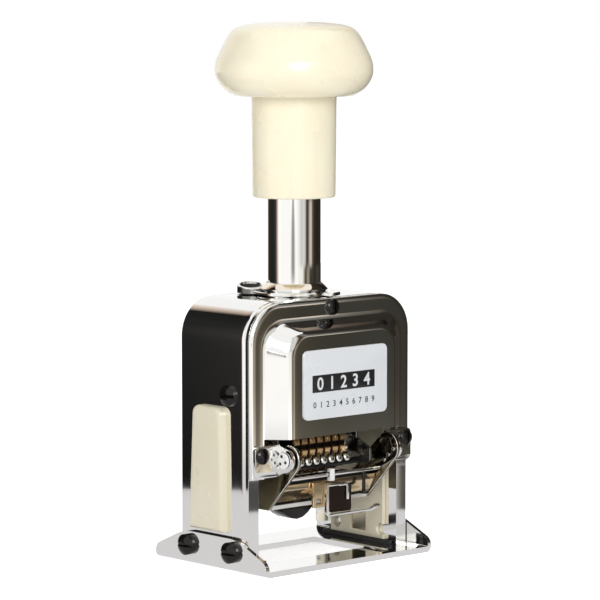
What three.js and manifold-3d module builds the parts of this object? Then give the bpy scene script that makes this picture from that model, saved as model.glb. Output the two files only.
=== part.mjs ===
// Hand-operated numbering machine. A plunger with a cream knob slides in an inverted U
// frame and carries seven number wheels down to the paper. The ink pad lies under the
// wheels and swings forward, out of their way, as the plunger goes down.
// Millimetres, +Z up, wheel axle along X, working side towards -Y, origin under the base.
import * as THREE from 'three';
import { mergeVertices } from 'three/addons/utils/BufferGeometryUtils.js';
import Module from 'manifold-3d';

const wasm = await Module();
wasm.setup();

// Fits and facet counts
const seatGap = 0.3;
const boltPlay = 0.2;
const pivotPlay = 0.25;
const overrun = 1;
const roundSides = 32;
const smallSides = 16;
const arcSteps = 6;

// Base plate
const baseDepth = 57.8;
const baseSheet = 2;
const baseFlangeSheet = 1.5;
const baseFlangeGap = 0.3;
const baseFlangeTop = 11.2;
const baseFlangeTipHeight = 4;
const baseFlangeFlatHalf = 13.7;
const windowWidth = 42;
const windowFront = -13.3;
const windowRear = 12.5;
const ledgeDrop = 0.5;
const ledgeLip = 3.2;
const bufferWidth = 1.7;
const bufferHeight = 1.5;

// Frame
const frameWidth = 73.6;
const frameDepth = 34.6;
const frameSetForward = 0.6;
const frameTop = 91;
const frameWall = 4.6;
const frameCorner = 13;
const frameEdgeRound = 1.3;

// Stamped covers
const coverSheet = 1.5;
const coverTopStep = 6.8;
const panBaseHalf = 31.2;
const panFaceHalf = 25;
const panFaceDrop = 3.6;
const panCorner = 9;
const panDepth = 8.15;
const panShoulderShare = 0.86;
const panFaceInset = 0.9;
const frontFlangeBottom = 31.8;
const frontPanBottom = 45.3;
const rearFlangeBottom = 6;
const rearPanBottom = 20;
const rearPanDepth = 4.5;
const rearLegHalf = 28.4;
const rearInset = 1.6;

// Label plate
const labelWidth = 38.4;
const labelHeight = 23.6;
const labelCentreZ = 63;
const labelSheet = 0.7;
const labelCorner = 2;

// Screws
const m3HeadRadius = 2.75;
const m3HeadHeight = 1.9;
const m3ShankRadius = 1.4;
const m3Length = 5.2;
const m4HeadRadius = 3.7;
const m4HeadHeight = 2;
const baseHeadHeight = 3.3;
const m4ShankRadius = 1.9;
const m4Length = 5.6;
const headRimShare = 0.62;
const headCrownShare = 0.72;
const slotWidth = 1.1;
const slotDepth = 1.1;
const baseScrewHalfPitch = 11.3;
const baseScrewZ = 6.6;
const frameScrewY = -7.8;
const frameScrewZ = 59.6;
const frameScrewLength = 7.6;
const coverScrewBelowTop = 2.9;
const earScrewX = 33.4;
const earScrewZ = 40;

// Side covers and inner liners
const sideCoverBottom = 12.7;
const sideCoverTop = 55.4;
const sideCoverThick = 3.3;
const sideCoverHalfTop = 7.6;
const sideCoverHalfBottom = 10.1;
const sideCoverSetback = 1.9;
const sideCoverCorner = 3;
const sideCoverRound = 1;
const linerThick = 1.6;
const linerFrontMargin = 1.2;
const linerRearMargin = 3.1;
const linerBottom = 3;
const linerTop = 55;
const linerRecessHalf = 3.9;
const linerRecessBottom = 5;
const linerRecessTop = 11.5;
const linerRecessDepth = 0.8;

// Plunger
const stroke = 29;
const knobRadius = 27.3;
const knobBottom = 159.8;
const knobHeight = 25.2;
const knobSocketTop = 173;
const skirtTopRadius = 14.7;
const skirtBottomRadius = 14.4;
const skirtBottom = 124.8;
const skirtRound = 0.8;
const shaftRadius = 9.3;
const shaftBore = 7;
const shaftSeatDepth = 3.1;
const springSeatZ = 118;
const collarNeckWall = 1.4;
const collarFlareRadius = 11.7;
const collarFlareTopRadius = 9.9;
const collarFlareHeight = 2.7;

// Lock plate
const lockSheet = 1.2;
const lockRadius = 13.8;
const lockTongueReach = 16.9;
const lockTongueWidth = 7;
const lockEyeDistance = 15;
const lockEyeRadius = 4.9;
const lockEyeHeight = 4;
const lockDishRadius = 6;
const lockDishDepth = 0.9;
const lockTongueAngle = -69;
const lockEyeAngle = 200;

// Return spring
const springWire = 0.7;
const springRadius = 5.3;
const springCurls = 12;
const curlSteps = 8;
const curlSides = 5;

// Spring bridge
const bridgeHalfHeight = 1.7;
const bridgeHalfDepth = 2.2;
const bridgeLugFront = -11;
const bridgeLugLength = 3.2;

// Wheel carrier
const wheelAxisY = -7;
const wheelAxisZ = 40.5;
const wheelRadius = 11;
const wheelCount = 7;
const wheelPitch = 3.55;
const wheelWidth = 3.25;
const wheelFirstEdge = -16.3;
const wheelLandRise = 1.1;
const wheelLandHalfAngle = 14;
const digitsPerWheel = 10;
const axleRadius = 2;
const axleHalfLength = 19.6;
const cheekInner = 17.8;
const cheekSheet = 1.2;
const cheekHubRadius = 7;
const cheekTailY = 4;
const crossheadHeight = 4.9;
const crossheadHeadroom = 0.6;
const crossheadHalfDepth = 12.6;
const ratchetRadius = 9.4;
const ratchetWidth = 2.2;
const ratchetTeeth = 10;
const ratchetToothDepth = 1.4;
const spacerRadius = 5.4;
const combFront = -19.3;
const combSheet = 1;
const combBottom = 33;
const combBarHeight = 2.2;
const combFingerHeight = 2.4;
const combFingerWidth = 1.5;

// Pawl yoke
const yokeArmWidth = 0.8;
const yokeRight = 17.4;
const yokeHubRadius = 3.6;
const yokeReach = 14.5;
const yokeBarHeight = 3;
const yokeBarDepth = 2;
const yokeDrop = 3;
const yokePawlWidth = 2.4;

// Ink swing
const pivotY = -23.5;
const pivotZ = 38;
const pivotRadius = 1.7;
const pivotHeadRadius = 2.6;
const pivotHeadHeight = 0.8;
const bracketInner = 24.4;
const bracketSheet = 1.2;
const bracketBottom = 32.4;
const bracketTop = 43.3;
const bracketNose = 4.2;
const bracketEarOuter = 36.2;
const bracketEarInset = 1.6;
const armInner = 22.4;
const armSheet = 1.2;
const armNose = 5.2;
const trayFront = -13;
const trayRear = -1;
const trayBottom = 19.4;
const trayTop = 28.2;
const trayLipY = -17.6;
const traySheet = 1;
const trayRearTop = 25.5;
const armRearTop = 24.5;
const padHeight = 7.4;
const clipLeft = -2;
const clipUpperRight = 5;
const clipLowerRight = 19;
const clipTipRight = 23.6;
const clipTop = 27;
const clipBottom = 15.4;
const clipStrip = 1;
const clipDepth = 1.3;
const clipTipRise = 1.4;
const tabLeft = -8;
const tabRight = -2.8;
const tabTop = 28;
const tabBottom = 19.2;
const tabDepth = 1;
const tabSlotInset = 1.5;
const tabSlotHeight = 1.5;
const barBottom = 29.9;
const barSize = 1.2;
const barFront = -20.6;
const blockLeft = -2.6;
const blockWidth = 2;
const blockFront = -21.6;
const blockDepth = 1.8;
const blockBottom = 28.4;
const blockTop = 32.6;
const pinX = 14.5;
const pinRadius = 0.6;
const pinBottom = 22.3;
const pinFootRadius = 1.9;
const pinFootHeight = 0.8;
const leafLeft = -17;
const leafRight = -2;
const leafDrop = 4.2;
const leafFront = -12.5;
const leafRear = -4.5;

// Worked out from the sizes above
const frameHalf = frameWidth / 2;
const frameFront = -frameDepth / 2 - frameSetForward;
const frameRear = frameDepth / 2 - frameSetForward;
const legInner = frameHalf - frameWall;
const frameUnder = frameTop - frameWall;
const coverFront = frameFront - coverSheet;
const panFaceY = frameFront - panDepth;
const headHalfSpan = cheekInner - seatGap;
const flangeInner = frameHalf + baseFlangeGap;
const baseHalf = flangeInner + baseFlangeSheet;
const bufferOuter = legInner - linerThick - seatGap;
const collarNeckRadius = shaftRadius + pivotPlay + collarNeckWall;
const lockBottom = frameTop + seatGap;
const flareBottom = lockBottom + lockSheet + seatGap;
const bridgeBottom = frameScrewZ - bridgeHalfHeight;
const bridgeTop = frameScrewZ + bridgeHalfHeight;
const crossheadTop = bridgeBottom - crossheadHeadroom;
const crossheadBottom = crossheadTop - crossheadHeight;
const shaftBottom = crossheadTop - shaftSeatDepth;
const linerFront = -baseScrewHalfPitch - linerFrontMargin;
const linerRear = baseScrewHalfPitch + linerRearMargin;

// Finishes
const chrome = { color: 0xc9c8c4, roughness: 0.08, metalness: 1 };
const steel = { color: 0xa9a6a0, roughness: 0.25, metalness: 1 };
const brass = { color: 0xb08a4a, roughness: 0.3, metalness: 1 };
const black = { color: 0x151515, roughness: 0.35, metalness: 0.4 };
const rubber = { color: 0x1b1b1b, roughness: 0.8, metalness: 0 };
const cream = { color: 0xf3ecca, roughness: 0.3, metalness: 0 };
const stone = { color: 0xdcd5bb, roughness: 0.4, metalness: 0 };
const paper = { color: 0xe8eaec, roughness: 0.35, metalness: 0 };
const felt = { color: 0x2a2220, roughness: 0.95, metalness: 0 };

const machine = new THREE.Group();

// Solids: a closed geometry becomes a solid that can be joined and cut
function solid(geometry) {
  const bare = geometry.clone();
  bare.deleteAttribute('normal');
  bare.deleteAttribute('uv');
  const merged = mergeVertices(bare);
  const corners = merged.index.array;
  const kept = [];
  for (let i = 0; i < corners.length; i += 3) {
    const [a, b, c] = [corners[i], corners[i + 1], corners[i + 2]];
    if (a !== b && b !== c && c !== a) kept.push(a, b, c);
  }
  return new wasm.Manifold(new wasm.Mesh({
    numProp: 3,
    vertProperties: merged.attributes.position.array,
    triVerts: Uint32Array.from(kept),
  }));
}

function geometryOf(body) {
  const shell = body.getMesh();
  const geometry = new THREE.BufferGeometry();
  geometry.setAttribute('position', new THREE.BufferAttribute(shell.vertProperties, 3));
  geometry.setIndex(new THREE.BufferAttribute(shell.triVerts, 1));
  geometry.computeVertexNormals();
  return geometry;
}

function join(first, ...others) {
  return others.reduce((whole, other) => whole.add(other), first);
}

function cut(first, ...tools) {
  return tools.reduce((whole, tool) => whole.subtract(tool), first);
}

function add(name, body, finish) {
  const mesh = new THREE.Mesh(geometryOf(body), new THREE.MeshStandardMaterial(finish));
  mesh.name = name;
  machine.add(mesh);
  return mesh;
}

// Basic shapes, each placed by its own limits
function block([x0, x1], [y0, y1], [z0, z1]) {
  const geometry = new THREE.BoxGeometry(x1 - x0, y1 - y0, z1 - z0);
  geometry.translate((x0 + x1) / 2, (y0 + y1) / 2, (z0 + z1) / 2);
  return solid(geometry);
}

function rodX(radius, x0, x1, y, z, sides = smallSides) {
  const geometry = new THREE.CylinderGeometry(radius, radius, x1 - x0, sides);
  geometry.rotateZ(-Math.PI / 2);
  geometry.translate((x0 + x1) / 2, y, z);
  return solid(geometry);
}

function rodY(radius, y0, y1, x, z, sides = smallSides) {
  const geometry = new THREE.CylinderGeometry(radius, radius, y1 - y0, sides);
  geometry.translate(x, (y0 + y1) / 2, z);
  return solid(geometry);
}

function rodZ(radius, z0, z1, x, y, sides = roundSides) {
  const geometry = new THREE.CylinderGeometry(radius, radius, z1 - z0, sides);
  geometry.rotateX(Math.PI / 2);
  geometry.translate(x, y, (z0 + z1) / 2);
  return solid(geometry);
}

function turned(profile, sides = roundSides) {
  const points = profile.map(([r, z]) => new THREE.Vector2(r, z));
  const geometry = new THREE.LatheGeometry(points, sides);
  geometry.rotateX(Math.PI / 2);
  return solid(geometry);
}

// Outline drawn out to a depth, its edges rounded inside the outline
function extruded(points, depth, edgeRound) {
  const shape = new THREE.Shape(points.map(([a, b]) => new THREE.Vector2(a, b)));
  return new THREE.ExtrudeGeometry(shape, {
    depth: depth - 2 * edgeRound,
    bevelEnabled: edgeRound > 0,
    bevelThickness: edgeRound,
    bevelSize: edgeRound,
    bevelOffset: -edgeRound,
    bevelSegments: 2,
  });
}

function slabX(points, x0, x1, edgeRound = 0) {
  const geometry = extruded(points, x1 - x0, edgeRound);
  const turn = new THREE.Matrix4().makeBasis(
    new THREE.Vector3(0, 1, 0),
    new THREE.Vector3(0, 0, 1),
    new THREE.Vector3(1, 0, 0),
  );
  geometry.applyMatrix4(turn);
  geometry.translate(x0 + edgeRound, 0, 0);
  return solid(geometry);
}

function slabY(points, y0, y1, edgeRound = 0) {
  const geometry = extruded(points, y1 - y0, edgeRound);
  geometry.rotateX(Math.PI / 2);
  geometry.translate(0, y1 - edgeRound, 0);
  return solid(geometry);
}

function slabZ(points, z0, z1) {
  const geometry = extruded(points, z1 - z0, 0);
  geometry.translate(0, 0, z0);
  return solid(geometry);
}

// Outlines
function arc(a, b, radius, from, to, steps = arcSteps) {
  const points = [];
  for (let i = 0; i <= steps; i += 1) {
    const angle = THREE.MathUtils.degToRad(from + (to - from) * i / steps);
    points.push([a + radius * Math.cos(angle), b + radius * Math.sin(angle)]);
  }
  return points;
}

function archOutline(half, bottom, top, corner) {
  return [
    [half, bottom],
    ...arc(half - corner, top - corner, corner, 0, 90),
    ...arc(corner - half, top - corner, corner, 90, 180),
    [-half, bottom],
  ];
}

function roundedRectangle(half, bottom, top, corner) {
  return [
    ...arc(half - corner, bottom + corner, corner, -90, 0),
    ...arc(half - corner, top - corner, corner, 0, 90),
    ...arc(corner - half, top - corner, corner, 90, 180),
    ...arc(corner - half, bottom + corner, corner, 180, 270),
  ];
}

// Outline round a disc and some corner points, straight edges tangent to the disc
function strapOutline(a, b, radius, corners) {
  const tangent = ([p, q], side) => {
    const distance = Math.hypot(p - a, q - b);
    const turn = Math.atan2(q - b, p - a) + side * Math.acos(radius / distance);
    return THREE.MathUtils.radToDeg(turn);
  };
  const from = tangent(corners[corners.length - 1], 1);
  const to = tangent(corners[0], -1);
  return [...corners, ...arc(a, b, radius, from, to < from ? to + 360 : to, 2 * arcSteps)];
}

// Solid through a row of like outlines (x, z), the first at the back
function loft(rings) {
  const positions = [];
  const index = [];
  const count = rings[0].points.length;
  for (const ring of rings) {
    for (const [x, z] of ring.points) positions.push(x, ring.y, z);
  }
  for (let r = 0; r < rings.length - 1; r += 1) {
    for (let i = 0; i < count; i += 1) {
      const next = (i + 1) % count;
      const [a, b] = [r * count + i, r * count + next];
      index.push(a, b, b + count, a, b + count, a + count);
    }
  }
  const last = (rings.length - 1) * count;
  for (let i = 1; i < count - 1; i += 1) {
    index.push(last, last + i, last + i + 1);
    index.push(0, i + 1, i);
  }
  const geometry = new THREE.BufferGeometry();
  geometry.setAttribute('position', new THREE.Float32BufferAttribute(positions, 3));
  geometry.setIndex(index);
  return solid(geometry);
}

// Slotted pan screw standing on +Z with its seat at zero, then turned to its direction
function screw(name, headRadius, headHeight, shankRadius, length, place, direction) {
  const rim = headHeight * headRimShare;
  const body = turned([
    [0, -length],
    [shankRadius, -length],
    [shankRadius, 0],
    [headRadius, 0],
    [headRadius, rim],
    [headRadius * headCrownShare, headHeight],
    [0, headHeight],
  ], smallSides);
  const slot = block(
    [-slotWidth / 2, slotWidth / 2],
    [-headRadius - overrun, headRadius + overrun],
    [headHeight - slotDepth, headHeight + overrun],
  );
  const mesh = add(name, cut(body, slot), black);
  mesh.quaternion.setFromUnitVectors(new THREE.Vector3(0, 0, 1), new THREE.Vector3(...direction));
  mesh.position.set(...place);
}

const sides = [['left', -1], ['right', 1]];

// A range between two lengths, mirrored to the side it belongs to
function span(side, inner, outer) {
  return side < 0 ? [-outer, -inner] : [inner, outer];
}

// Base plate: one bent sheet with a printing window and a lowered front ledge
function buildBase() {
  const half = baseHalf;
  const front = -baseDepth / 2;
  const flange = [
    [front, 0],
    [-front, 0],
    [-front, baseFlangeTipHeight],
    [baseFlangeFlatHalf, baseFlangeTop],
    [-baseFlangeFlatHalf, baseFlangeTop],
    [front, baseFlangeTipHeight],
  ];
  const window = [[-windowWidth / 2, windowWidth / 2], [windowFront, windowRear]];
  const ledge = [[-windowWidth / 2, windowWidth / 2], [front + ledgeLip, windowFront + overrun]];
  let plate = block([-half, half], [front, -front], [0, baseSheet]);
  plate = join(plate, slabX(flange, -half, -flangeInner), slabX(flange, flangeInner, half));
  plate = cut(plate, block(...window, [-overrun, baseSheet + overrun]));
  plate = cut(plate, block(...ledge, [baseSheet - ledgeDrop, baseSheet + overrun]));
  for (const y of [-baseScrewHalfPitch, baseScrewHalfPitch]) {
    plate = cut(plate, rodX(m4ShankRadius + boltPlay, -half - overrun, half + overrun, y, baseScrewZ));
  }
  add('base_plate', plate, chrome);
  for (const [side, sign] of sides) {
    for (const [end, y] of [['front', -baseScrewHalfPitch], ['rear', baseScrewHalfPitch]]) {
      screw(`base_screw_${side}_${end}`, m4HeadRadius, baseHeadHeight, m4ShankRadius, m4Length,
        [sign * half, y, baseScrewZ], [sign, 0, 0]);
    }
    const reach = span(sign, bufferOuter - bufferWidth, bufferOuter);
    const strip = block(reach, [frameFront, frameRear], [baseSheet, baseSheet + bufferHeight]);
    add(`buffer_${side}`, strip, rubber);
  }
}

// Frame: bar bent to an inverted U, its feet standing on the base plate
function buildFrame() {
  const inner = archOutline(legInner, baseSheet, frameUnder, frameCorner - frameWall);
  const outline = [...archOutline(frameHalf, baseSheet, frameTop, frameCorner), ...inner.reverse()];
  let frame = slabY(outline, frameFront, frameRear, frameEdgeRound);
  frame = cut(frame, rodZ(collarNeckRadius + boltPlay, frameUnder - overrun, frameTop + overrun, 0, 0));
  const through = frameHalf + overrun;
  for (const y of [-baseScrewHalfPitch, baseScrewHalfPitch]) {
    frame = cut(frame, rodX(m4ShankRadius + boltPlay, -through, through, y, baseScrewZ));
  }
  frame = cut(frame, rodX(m4ShankRadius + boltPlay, -through, through, frameScrewY, frameScrewZ));
  const drill = m3ShankRadius + boltPlay;
  const drilled = m3Length + overrun;
  const screwZ = frameTop - coverScrewBelowTop;
  frame = cut(frame, rodY(drill, frameFront - overrun, frameFront + drilled, 0, screwZ));
  frame = cut(frame, rodY(drill, frameRear - drilled, frameRear + overrun, 0, screwZ));
  for (const sign of [-1, 1]) {
    const place = [sign * earScrewX, earScrewZ];
    frame = cut(frame, rodY(drill, frameFront - overrun, frameFront + drilled, ...place));
  }
  add('frame', frame, chrome);
  for (const [side, sign] of sides) {
    screw(`frame_screw_${side}`, m4HeadRadius, m4HeadHeight, m4ShankRadius, frameScrewLength,
      [sign * frameHalf, frameScrewY, frameScrewZ], [sign, 0, 0]);
  }
}

// Stamped cover: flat flange on the frame with a drawn pan, open below
function stampedCover(inset, flangeBottom, legHalf, panBottom, depth) {
  const panTop = frameTop - coverTopStep;
  const ring = (half, top, y, sheet) => ({
    points: archOutline(half - sheet, panBottom - (sheet > 0 ? overrun : 0), top - sheet, panCorner - sheet),
    y,
  });
  const pan = (sheet, back) => {
    const shoulder = panBaseHalf + (panFaceHalf - panBaseHalf) * panShoulderShare;
    const shoulderTop = panTop - panFaceDrop * panShoulderShare;
    const faceHalf = panFaceHalf - panFaceInset;
    const faceTop = panTop - panFaceDrop - panFaceInset;
    return loft([
      ring(panBaseHalf, panTop, back, sheet),
      ring(panBaseHalf, panTop, frameFront - coverSheet + sheet, sheet),
      ring(shoulder, shoulderTop, frameFront - depth * panShoulderShare + sheet, sheet),
      ring(faceHalf, faceTop, frameFront - depth + sheet, sheet),
    ]);
  };
  const flange = slabY(
    archOutline(frameHalf - inset, flangeBottom, frameTop, frameCorner - inset),
    coverFront,
    frameFront,
  );
  const below = block(
    [-legHalf, legHalf],
    [coverFront - overrun, frameFront + overrun],
    [flangeBottom - overrun, panBottom],
  );
  const body = join(flange, pan(0, frameFront));
  return cut(body, below, pan(coverSheet, frameFront + overrun));
}

function buildCovers() {
  const screwZ = frameTop - coverScrewBelowTop;
  const drill = m3ShankRadius + boltPlay;
  const hole = rodY(drill, coverFront - overrun, frameFront + overrun, 0, screwZ);
  let front = cut(stampedCover(0, frontFlangeBottom, panBaseHalf, frontPanBottom, panDepth), hole);
  for (const sign of [-1, 1]) {
    const place = [sign * earScrewX, earScrewZ];
    front = cut(front, rodY(drill, coverFront - overrun, frameFront + overrun, ...place));
  }
  add('front_cover', front, chrome);
  const rear = cut(stampedCover(rearInset, rearFlangeBottom, rearLegHalf, rearPanBottom, rearPanDepth), hole);
  const rearCover = add('rear_cover', rear, chrome);
  rearCover.rotation.z = Math.PI;
  rearCover.position.y = -2 * frameSetForward;
  const label = roundedRectangle(
    labelWidth / 2, labelCentreZ - labelHeight / 2, labelCentreZ + labelHeight / 2, labelCorner,
  );
  add('label_plate', slabY(label, panFaceY - labelSheet, panFaceY), paper);
  screw('cover_screw', m3HeadRadius, m3HeadHeight, m3ShankRadius, m3Length,
    [0, coverFront, screwZ], [0, -1, 0]);
  screw('rear_cover_screw', m3HeadRadius, m3HeadHeight, m3ShankRadius, m3Length,
    [0, frameRear + coverSheet, screwZ], [0, 1, 0]);
}

// Cream covers outside the legs and cream liners inside them
function buildSideTrim() {
  const bottom = sideCoverBottom;
  const taper = (sideCoverHalfBottom - sideCoverHalfTop) / (sideCoverTop - bottom);
  const lean = taper * sideCoverCorner;
  const outline = [
    [-sideCoverHalfBottom, bottom],
    [sideCoverHalfBottom, bottom],
    [sideCoverHalfTop + lean, sideCoverTop - sideCoverCorner],
    ...arc(sideCoverHalfTop - sideCoverCorner, sideCoverTop - sideCoverCorner, sideCoverCorner, 20, 90),
    ...arc(sideCoverCorner - sideCoverHalfTop, sideCoverTop - sideCoverCorner, sideCoverCorner, 90, 160),
    [-sideCoverHalfTop - lean, sideCoverTop - sideCoverCorner],
  ];
  for (const [side, sign] of sides) {
    const outer = frameHalf + sideCoverThick;
    const cover = slabX(outline, ...span(sign, frameHalf, outer), sideCoverRound);
    add(`side_cover_${side}`, cover.translate([0, sideCoverSetback, 0]), stone);
    const height = [linerBottom, linerTop];
    const reach = span(sign, legInner - linerThick, legInner);
    const recess = span(sign, legInner - linerThick - overrun, legInner - linerThick + linerRecessDepth);
    const liner = cut(
      block(reach, [linerFront, linerRear], height),
      block(recess, [-linerRecessHalf, linerRecessHalf], [linerRecessBottom, linerRecessTop]),
      rodX(m4ShankRadius + boltPlay, -frameHalf, frameHalf, -baseScrewHalfPitch, baseScrewZ),
      rodX(m4ShankRadius + boltPlay, -frameHalf, frameHalf, baseScrewHalfPitch, baseScrewZ),
    );
    add(`liner_${side}`, liner, stone);
  }
}

// Knob, skirt and hollow shaft
const knobProfileShares = [
  [0, 0], [0.76, 0], [0.8, 0.03], [0.875, 0.08], [0.938, 0.155], [0.985, 0.25], [1, 0.345],
  [0.985, 0.47], [0.923, 0.623], [0.862, 0.76], [0.799, 0.865], [0.72, 0.925], [0.6, 0.96],
  [0.35, 0.99], [0, 1],
];

function buildPlunger() {
  const profile = knobProfileShares.map(([r, z]) => [r * knobRadius, knobBottom + z * knobHeight]);
  const socket = rodZ(shaftRadius + seatGap, knobBottom - overrun, knobSocketTop + seatGap, 0, 0);
  add('knob', cut(turned(profile), socket), cream);
  const skirt = turned([
    [0, skirtBottom],
    [skirtBottomRadius - skirtRound, skirtBottom],
    [skirtBottomRadius, skirtBottom + skirtRound],
    [skirtTopRadius, knobBottom],
    [0, knobBottom],
  ]);
  const bore = rodZ(shaftRadius + seatGap, skirtBottom - overrun, knobBottom + overrun, 0, 0);
  add('skirt', cut(skirt, bore), cream);
  const slotReach = shaftRadius + overrun;
  const slotHalf = bridgeHalfDepth + pivotPlay;
  const shaft = cut(
    rodZ(shaftRadius, shaftBottom, knobSocketTop, 0, 0),
    rodZ(shaftBore, shaftBottom - overrun, springSeatZ, 0, 0),
    block(
      [-slotReach, slotReach],
      [-slotHalf, slotHalf],
      [bridgeBottom - seatGap, bridgeTop + stroke + seatGap],
    ),
  );
  add('shaft', shaft, chrome);
}

// Flared guide collar pressed into the frame, holding the lock plate down
function buildCollar() {
  const bore = shaftRadius + pivotPlay;
  const flareTop = flareBottom + collarFlareHeight;
  const collar = turned([
    [bore, frameUnder],
    [collarNeckRadius, frameUnder],
    [collarNeckRadius, flareBottom],
    [collarFlareRadius, flareBottom],
    [collarFlareTopRadius, flareTop],
    [bore, flareTop],
    [bore, frameUnder],
  ]);
  add('guide_collar', collar, chrome);
}

// Lock plate: ring round the collar, flat tongue in front, dished thumb eye behind
function buildLockPlate() {
  const top = lockBottom + lockSheet;
  const eyeAngle = THREE.MathUtils.degToRad(lockEyeAngle);
  const [eyeX, eyeY] = [lockEyeDistance * Math.cos(eyeAngle), lockEyeDistance * Math.sin(eyeAngle)];
  const tongue = [
    [0, -lockTongueWidth / 2],
    ...arc(lockTongueReach - lockTongueWidth / 4, -lockTongueWidth / 4, lockTongueWidth / 4, -90, 0),
    ...arc(lockTongueReach - lockTongueWidth / 4, lockTongueWidth / 4, lockTongueWidth / 4, 0, 90),
    [0, lockTongueWidth / 2],
  ];
  const dishZ = lockBottom + lockEyeHeight - lockDishDepth + lockDishRadius;
  const dish = new THREE.SphereGeometry(lockDishRadius, smallSides, smallSides);
  dish.rotateX(Math.PI / 2);
  dish.translate(eyeX, eyeY, dishZ);
  const plate = cut(
    join(
      rodZ(lockRadius, lockBottom, top, 0, 0),
      slabZ(tongue, lockBottom, top),
      rodZ(lockEyeRadius, lockBottom, lockBottom + lockEyeHeight, eyeX, eyeY, smallSides),
    ),
    rodZ(collarFlareRadius + seatGap, top, top + lockEyeHeight, 0, 0),
    rodZ(collarNeckRadius + pivotPlay, lockBottom - overrun, top + overrun, 0, 0),
    solid(dish),
  );
  add('lock_plate', plate, chrome).rotation.z = THREE.MathUtils.degToRad(lockTongueAngle);
}

// Return spring inside the shaft, from the bridge up to the end of the bore
class CoilPath extends THREE.Curve {
  constructor(bottom, top) {
    super();
    this.bottom = bottom;
    this.top = top;
  }

  getPoint(t, target = new THREE.Vector3()) {
    const angle = 2 * Math.PI * springCurls * t;
    const height = this.bottom + (this.top - this.bottom) * t;
    return target.set(springRadius * Math.cos(angle), springRadius * Math.sin(angle), height);
  }
}

function coilGeometry(path, wire, steps) {
  const positions = [];
  const index = [];
  const up = new THREE.Vector3(0, 0, 1);
  for (let s = 0; s <= steps; s += 1) {
    const centre = path.getPoint(s / steps);
    const outward = new THREE.Vector3(centre.x, centre.y, 0).normalize();
    for (let k = 0; k < curlSides; k += 1) {
      const angle = 2 * Math.PI * k / curlSides;
      const point = centre.clone();
      point.addScaledVector(outward, wire * Math.cos(angle));
      point.addScaledVector(up, wire * Math.sin(angle));
      positions.push(point.x, point.y, point.z);
    }
  }
  for (let s = 0; s < steps; s += 1) {
    for (let k = 0; k < curlSides; k += 1) {
      const next = (k + 1) % curlSides;
      const [a, b] = [s * curlSides + k, s * curlSides + next];
      index.push(a, b + curlSides, b, a, a + curlSides, b + curlSides);
    }
  }
  const last = steps * curlSides;
  for (let k = 1; k < curlSides - 1; k += 1) {
    index.push(0, k, k + 1);
    index.push(last, last + k + 1, last + k);
  }
  const geometry = new THREE.BufferGeometry();
  geometry.setAttribute('position', new THREE.Float32BufferAttribute(positions, 3));
  geometry.setIndex(index);
  return geometry;
}

function buildSpring() {
  const path = new CoilPath(bridgeTop + springWire + seatGap, springSeatZ - springWire - seatGap);
  add('return_spring', solid(coilGeometry(path, springWire, springCurls * curlSteps)), steel);
}

// Spring bridge: bar across the frame through the shaft slot, held by the side screws
function buildBridge() {
  const reach = legInner;
  let bridge = block([-reach, reach], [-bridgeHalfDepth, bridgeHalfDepth], [bridgeBottom, bridgeTop]);
  const back = bridgeHalfDepth;
  const drill = m4ShankRadius + boltPlay;
  for (const sign of [-1, 1]) {
    const lug = span(sign, reach - bridgeLugLength, reach);
    bridge = join(bridge, block(lug, [bridgeLugFront, back], [bridgeBottom - drill, bridgeTop + drill]));
  }
  bridge = cut(bridge, rodX(drill, -reach - overrun, reach + overrun, frameScrewY, frameScrewZ));
  add('spring_bridge', bridge, steel);
}

// Crosshead and cheeks: the carrier of the wheels at the foot of the shaft
function buildCarrier() {
  const half = headHalfSpan;
  const crosshead = cut(
    block([-half, half], [-crossheadHalfDepth, crossheadHalfDepth], [crossheadBottom, crossheadTop]),
    rodZ(shaftRadius + seatGap, shaftBottom - seatGap, crossheadTop + overrun, 0, 0),
  );
  add('crosshead', crosshead, steel);
  const outline = [
    [combFront, combBottom],
    [wheelAxisY, wheelAxisZ - cheekHubRadius],
    [cheekTailY, wheelAxisZ - cheekHubRadius / 2],
    [cheekTailY, crossheadTop],
    [-crossheadHalfDepth, crossheadTop],
    [-crossheadHalfDepth, wheelAxisZ],
    [combFront, combBottom + combBarHeight + combFingerHeight],
  ];
  for (const [side, sign] of sides) {
    const reach = span(sign, cheekInner, cheekInner + cheekSheet);
    const bore = rodX(
      axleRadius + pivotPlay, -axleHalfLength - overrun, axleHalfLength + overrun, wheelAxisY, wheelAxisZ,
    );
    add(`cheek_${side}`, cut(slabX(outline, ...reach), bore), steel);
  }
  add('wheel_axle', rodX(axleRadius, -axleHalfLength, axleHalfLength, wheelAxisY, wheelAxisZ), steel);
}

// Number wheels: ten raised lands each, side by side on the axle
function toothedOutline(count, outer, rise, halfAngle) {
  const points = [];
  for (let i = 0; i < count; i += 1) {
    const middle = 360 * i / count - 90;
    const [from, to] = [middle - halfAngle, middle + halfAngle];
    points.push(...arc(wheelAxisY, wheelAxisZ, outer - rise, from - 1, from - 1, 1).slice(1));
    points.push(...arc(wheelAxisY, wheelAxisZ, outer, from, to, 2));
    points.push(...arc(wheelAxisY, wheelAxisZ, outer - rise, to + 1, to + 1, 1).slice(1));
  }
  return points;
}

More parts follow.
